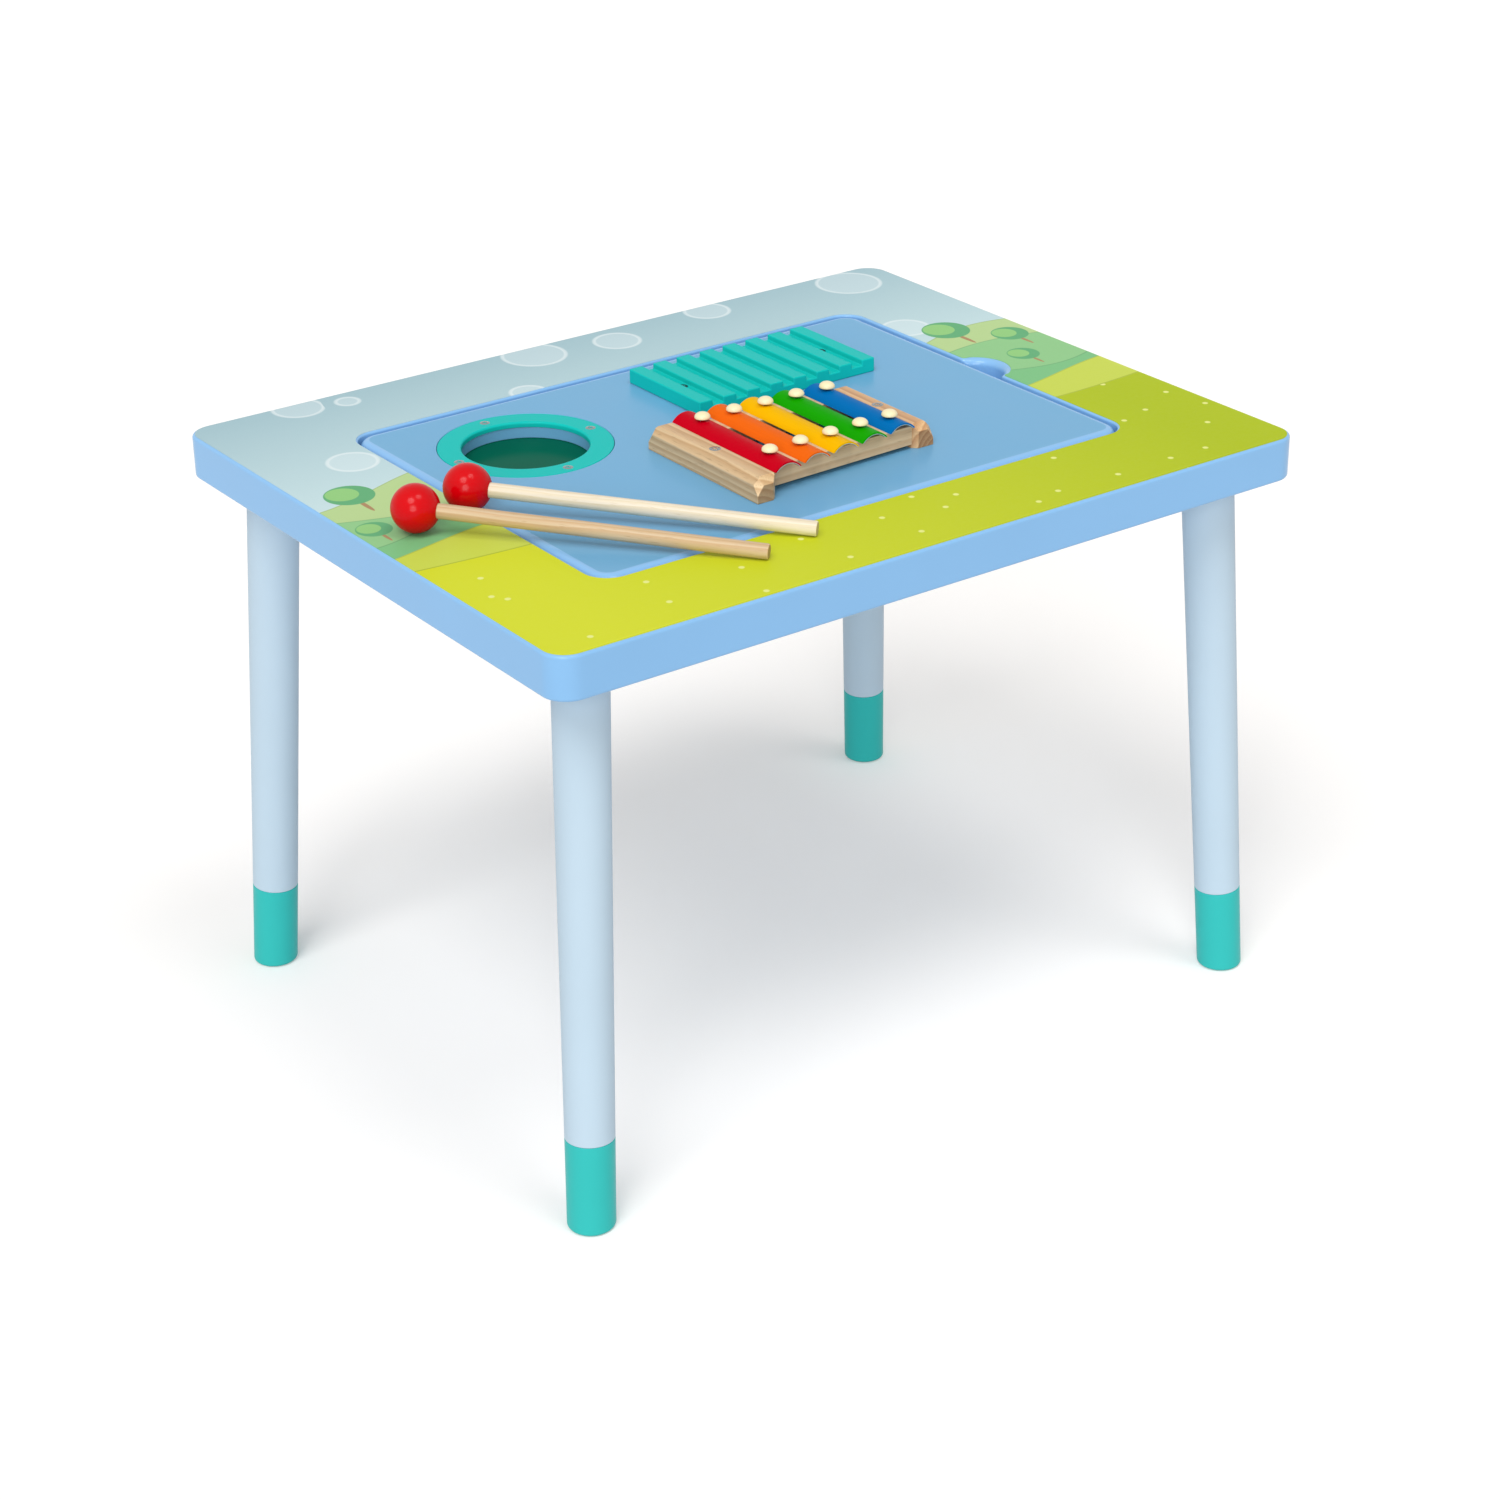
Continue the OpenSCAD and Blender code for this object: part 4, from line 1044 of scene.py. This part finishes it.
def mallet(name, wood):
    """A ball turned about the stick's line, with a socket, and a dowel with a rounded end. The
    line leaves the ball's middle at the mallet's heading and dips by its tilt until the stick's
    end rests on the frame."""
    line = mallet_line(name)
    middle = (*MALLETS[name]["head"], HEAD_Z)
    body = name + "_mallet"
    mouth = math.degrees(math.asin((STICK_R + 0.5) / HEAD_R))
    lip = HEAD_R * math.cos(math.radians(mouth))
    socket_r = STICK_R + 0.15
    depth = -4
    ball = arc((0, 0), HEAD_R, -90, 90 - mouth, 72)
    socket = np.array([
        (STICK_R + 0.2, lip - 0.1), (socket_r, lip - 0.6), (socket_r, depth), (0, depth)])
    head = turned(np.concatenate([ball, socket]), middle, line, 96)
    make_piece(body + "_ball", [surface(head)], [HEAD_LACQUER], body, body + "_head")
    start = depth + 0.15
    rod = filleted([(0, start), (STICK_R, start), (STICK_R, MALLET_L), (0, MALLET_L)], [0.4, 1.25])
    stick = turned(rod, middle, line, 48)
    make_piece(body + "_dowel", [surface(stick)], [wood],
               body, body + "_stick")


table_frame()
table_print()
for leg_name, leg_side in (("front_left", (-1, -1)), ("front_right", (1, -1)),
                           ("back_left", (-1, 1)), ("back_right", (1, 1))):
    leg_and_foot(leg_name, np.array(leg_side))
drop_in_bin()
music_lid()
drum()
screws()
ribbed_scraper()
xylophone_rail("left", -1, LEFT_PINE)
xylophone_rail("right", 1, RIGHT_PINE)
cross_bar("front", -1, FRONT_PINE)
cross_bar("back", 1, BACK_PINE)
for key_colour in KEYS:
    xylophone_key(key_colour)
pins_and_caps()
mallet("front", mallet_wood("front", "figured_beech", "#CDB491", "#BE9B72", "#AC865C"))
mallet("rear", mallet_wood("rear", "pale_beech", "#E5D9C4", "#D9CAAC", "#C8B38C"))

# Hidden hardware keeps its CAD solids and gets the finishes of its slots.
for hidden, hidden_finish in (("leg_inserts", ZINC), ("leg_bolts", ZINC),
                              ("drum_clamp_ring", TEAL_PAINT)):
    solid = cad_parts[hidden]
    solid.data.materials.clear()
    solid.data.materials.append(hidden_finish)

# Studio

FLOOR_REACH = 15.0
FLOOR_DROP = -0.0002
SENSOR = 36.0
FOCAL_PIXELS = 3140.3
IMAGE_PIXELS = 1500
CAMERA_AWAY = 2.1443


def seen_share(tree):
    """One for rays that the camera, a mirror or a glass pane sends out, and nothing for rays that
    only light."""
    path = add_node(tree, "LightPath").outputs
    direct = add_node(tree, "Math", {"operation": "MAXIMUM"}, {
        0: path["Is Camera Ray"], 1: path["Is Glossy Ray"]})
    return add_node(tree, "Math", {"operation": "MAXIMUM"}, {
        0: direct, 1: path["Is Transmission Ray"]})


def studio_floor():
    """A wide level sheet. The camera and reflections see it lifted to white where nothing shades
    it, while its diffuse share keeps the soft shadow; other rays see plain white paper."""
    mesh = bpy.data.meshes.new("studio_floor")
    corners = [(-1, -1), (1, -1), (1, 1), (-1, 1)]
    mesh.from_pydata([(x * FLOOR_REACH, y * FLOOR_REACH, FLOOR_DROP) for x, y in corners], [],
                     [(0, 1, 2, 3)])
    floor = bpy.data.objects.new("studio_floor", mesh)
    bpy.context.scene.collection.objects.link(floor)
    material = bpy.data.materials.new("white_paper_sweep")
    material.use_nodes = True
    tree = material.node_tree
    tree.nodes.clear()
    paper = add_node(tree, "BsdfDiffuse", None, {"Color": (0.8, 0.8, 0.8, 1)})
    seen = add_node(tree, "BsdfDiffuse", None, {"Color": (0.84, 0.815, 0.79, 1)})
    lift = add_node(tree, "Emission", None, {"Color": (1, 1, 1, 1), "Strength": 0.2})
    lifted = add_node(tree, "AddShader", None, {0: seen, 1: lift})
    chosen = add_node(tree, "MixShader", None, {0: seen_share(tree), 1: paper, 2: lifted})
    add_node(tree, "OutputMaterial", None, {"Surface": chosen})
    mesh.materials.append(material)


def soft_lamp(name, travel, spread, energy):
    """A lamp far away: its light travels one way, spread over a wide angle in degrees so that
    shadows are soft."""
    lamp = bpy.data.lights.new(name, "SUN")
    lamp.energy = energy
    lamp.angle = math.radians(spread)
    holder = bpy.data.objects.new(name, lamp)
    holder.rotation_euler = Vector(travel).to_track_quat("-Z", "Y").to_euler()
    bpy.context.scene.collection.objects.link(holder)


def studio_light():
    """Even light from all round, which is white where it is seen, and three soft lamps: high on
    the left, high and a little to the right, and low in front."""
    world = bpy.data.worlds.new("soft_studio")
    world.use_nodes = True
    tree = world.node_tree
    level = add_node(tree, "MapRange", None, {
        "Value": seen_share(tree), "To Min": 0.44, "To Max": 1.0})
    feed(tree, tree.nodes["Background"], {"Color": (1, 1, 1, 1), "Strength": level})
    bpy.context.scene.world = world
    soft_lamp("left_softbox", (0.6, 0.34, -1.0), 28, 1.25)
    soft_lamp("right_softbox", (-0.12, 0.36, -1.0), 20, 0.6)
    soft_lamp("front_softbox", (0.58, 0.66, -0.32), 28, 1.12)


def photo_camera():
    """A plain camera with no shift: it stands on a sphere about its target at the photo's angles,
    with a small roll about its own axis."""
    lens = bpy.data.cameras.new("photo_camera")
    lens.sensor_width = SENSOR
    lens.lens = SENSOR * FOCAL_PIXELS / IMAGE_PIXELS
    lens.clip_end = 100.0
    camera = bpy.data.objects.new("photo_camera", lens)
    azimuth = math.radians(-35.713)
    elevation = math.radians(26.579)
    roll = math.radians(-0.7)
    level = math.cos(elevation)
    towards = Vector((math.sin(azimuth) * level, -math.cos(azimuth) * level, math.sin(elevation)))
    target = Vector((-0.0507, -0.0797, 0.220))
    camera.location = target + CAMERA_AWAY * towards
    facing = (-towards).to_track_quat("-Z", "Y")
    camera.rotation_euler = (facing @ Quaternion((0, 0, 1), roll)).to_euler()
    bpy.context.scene.collection.objects.link(camera)
    bpy.context.scene.camera = camera


studio_floor()
studio_light()
photo_camera()
bpy.context.scene.view_settings.view_transform = "Standard"
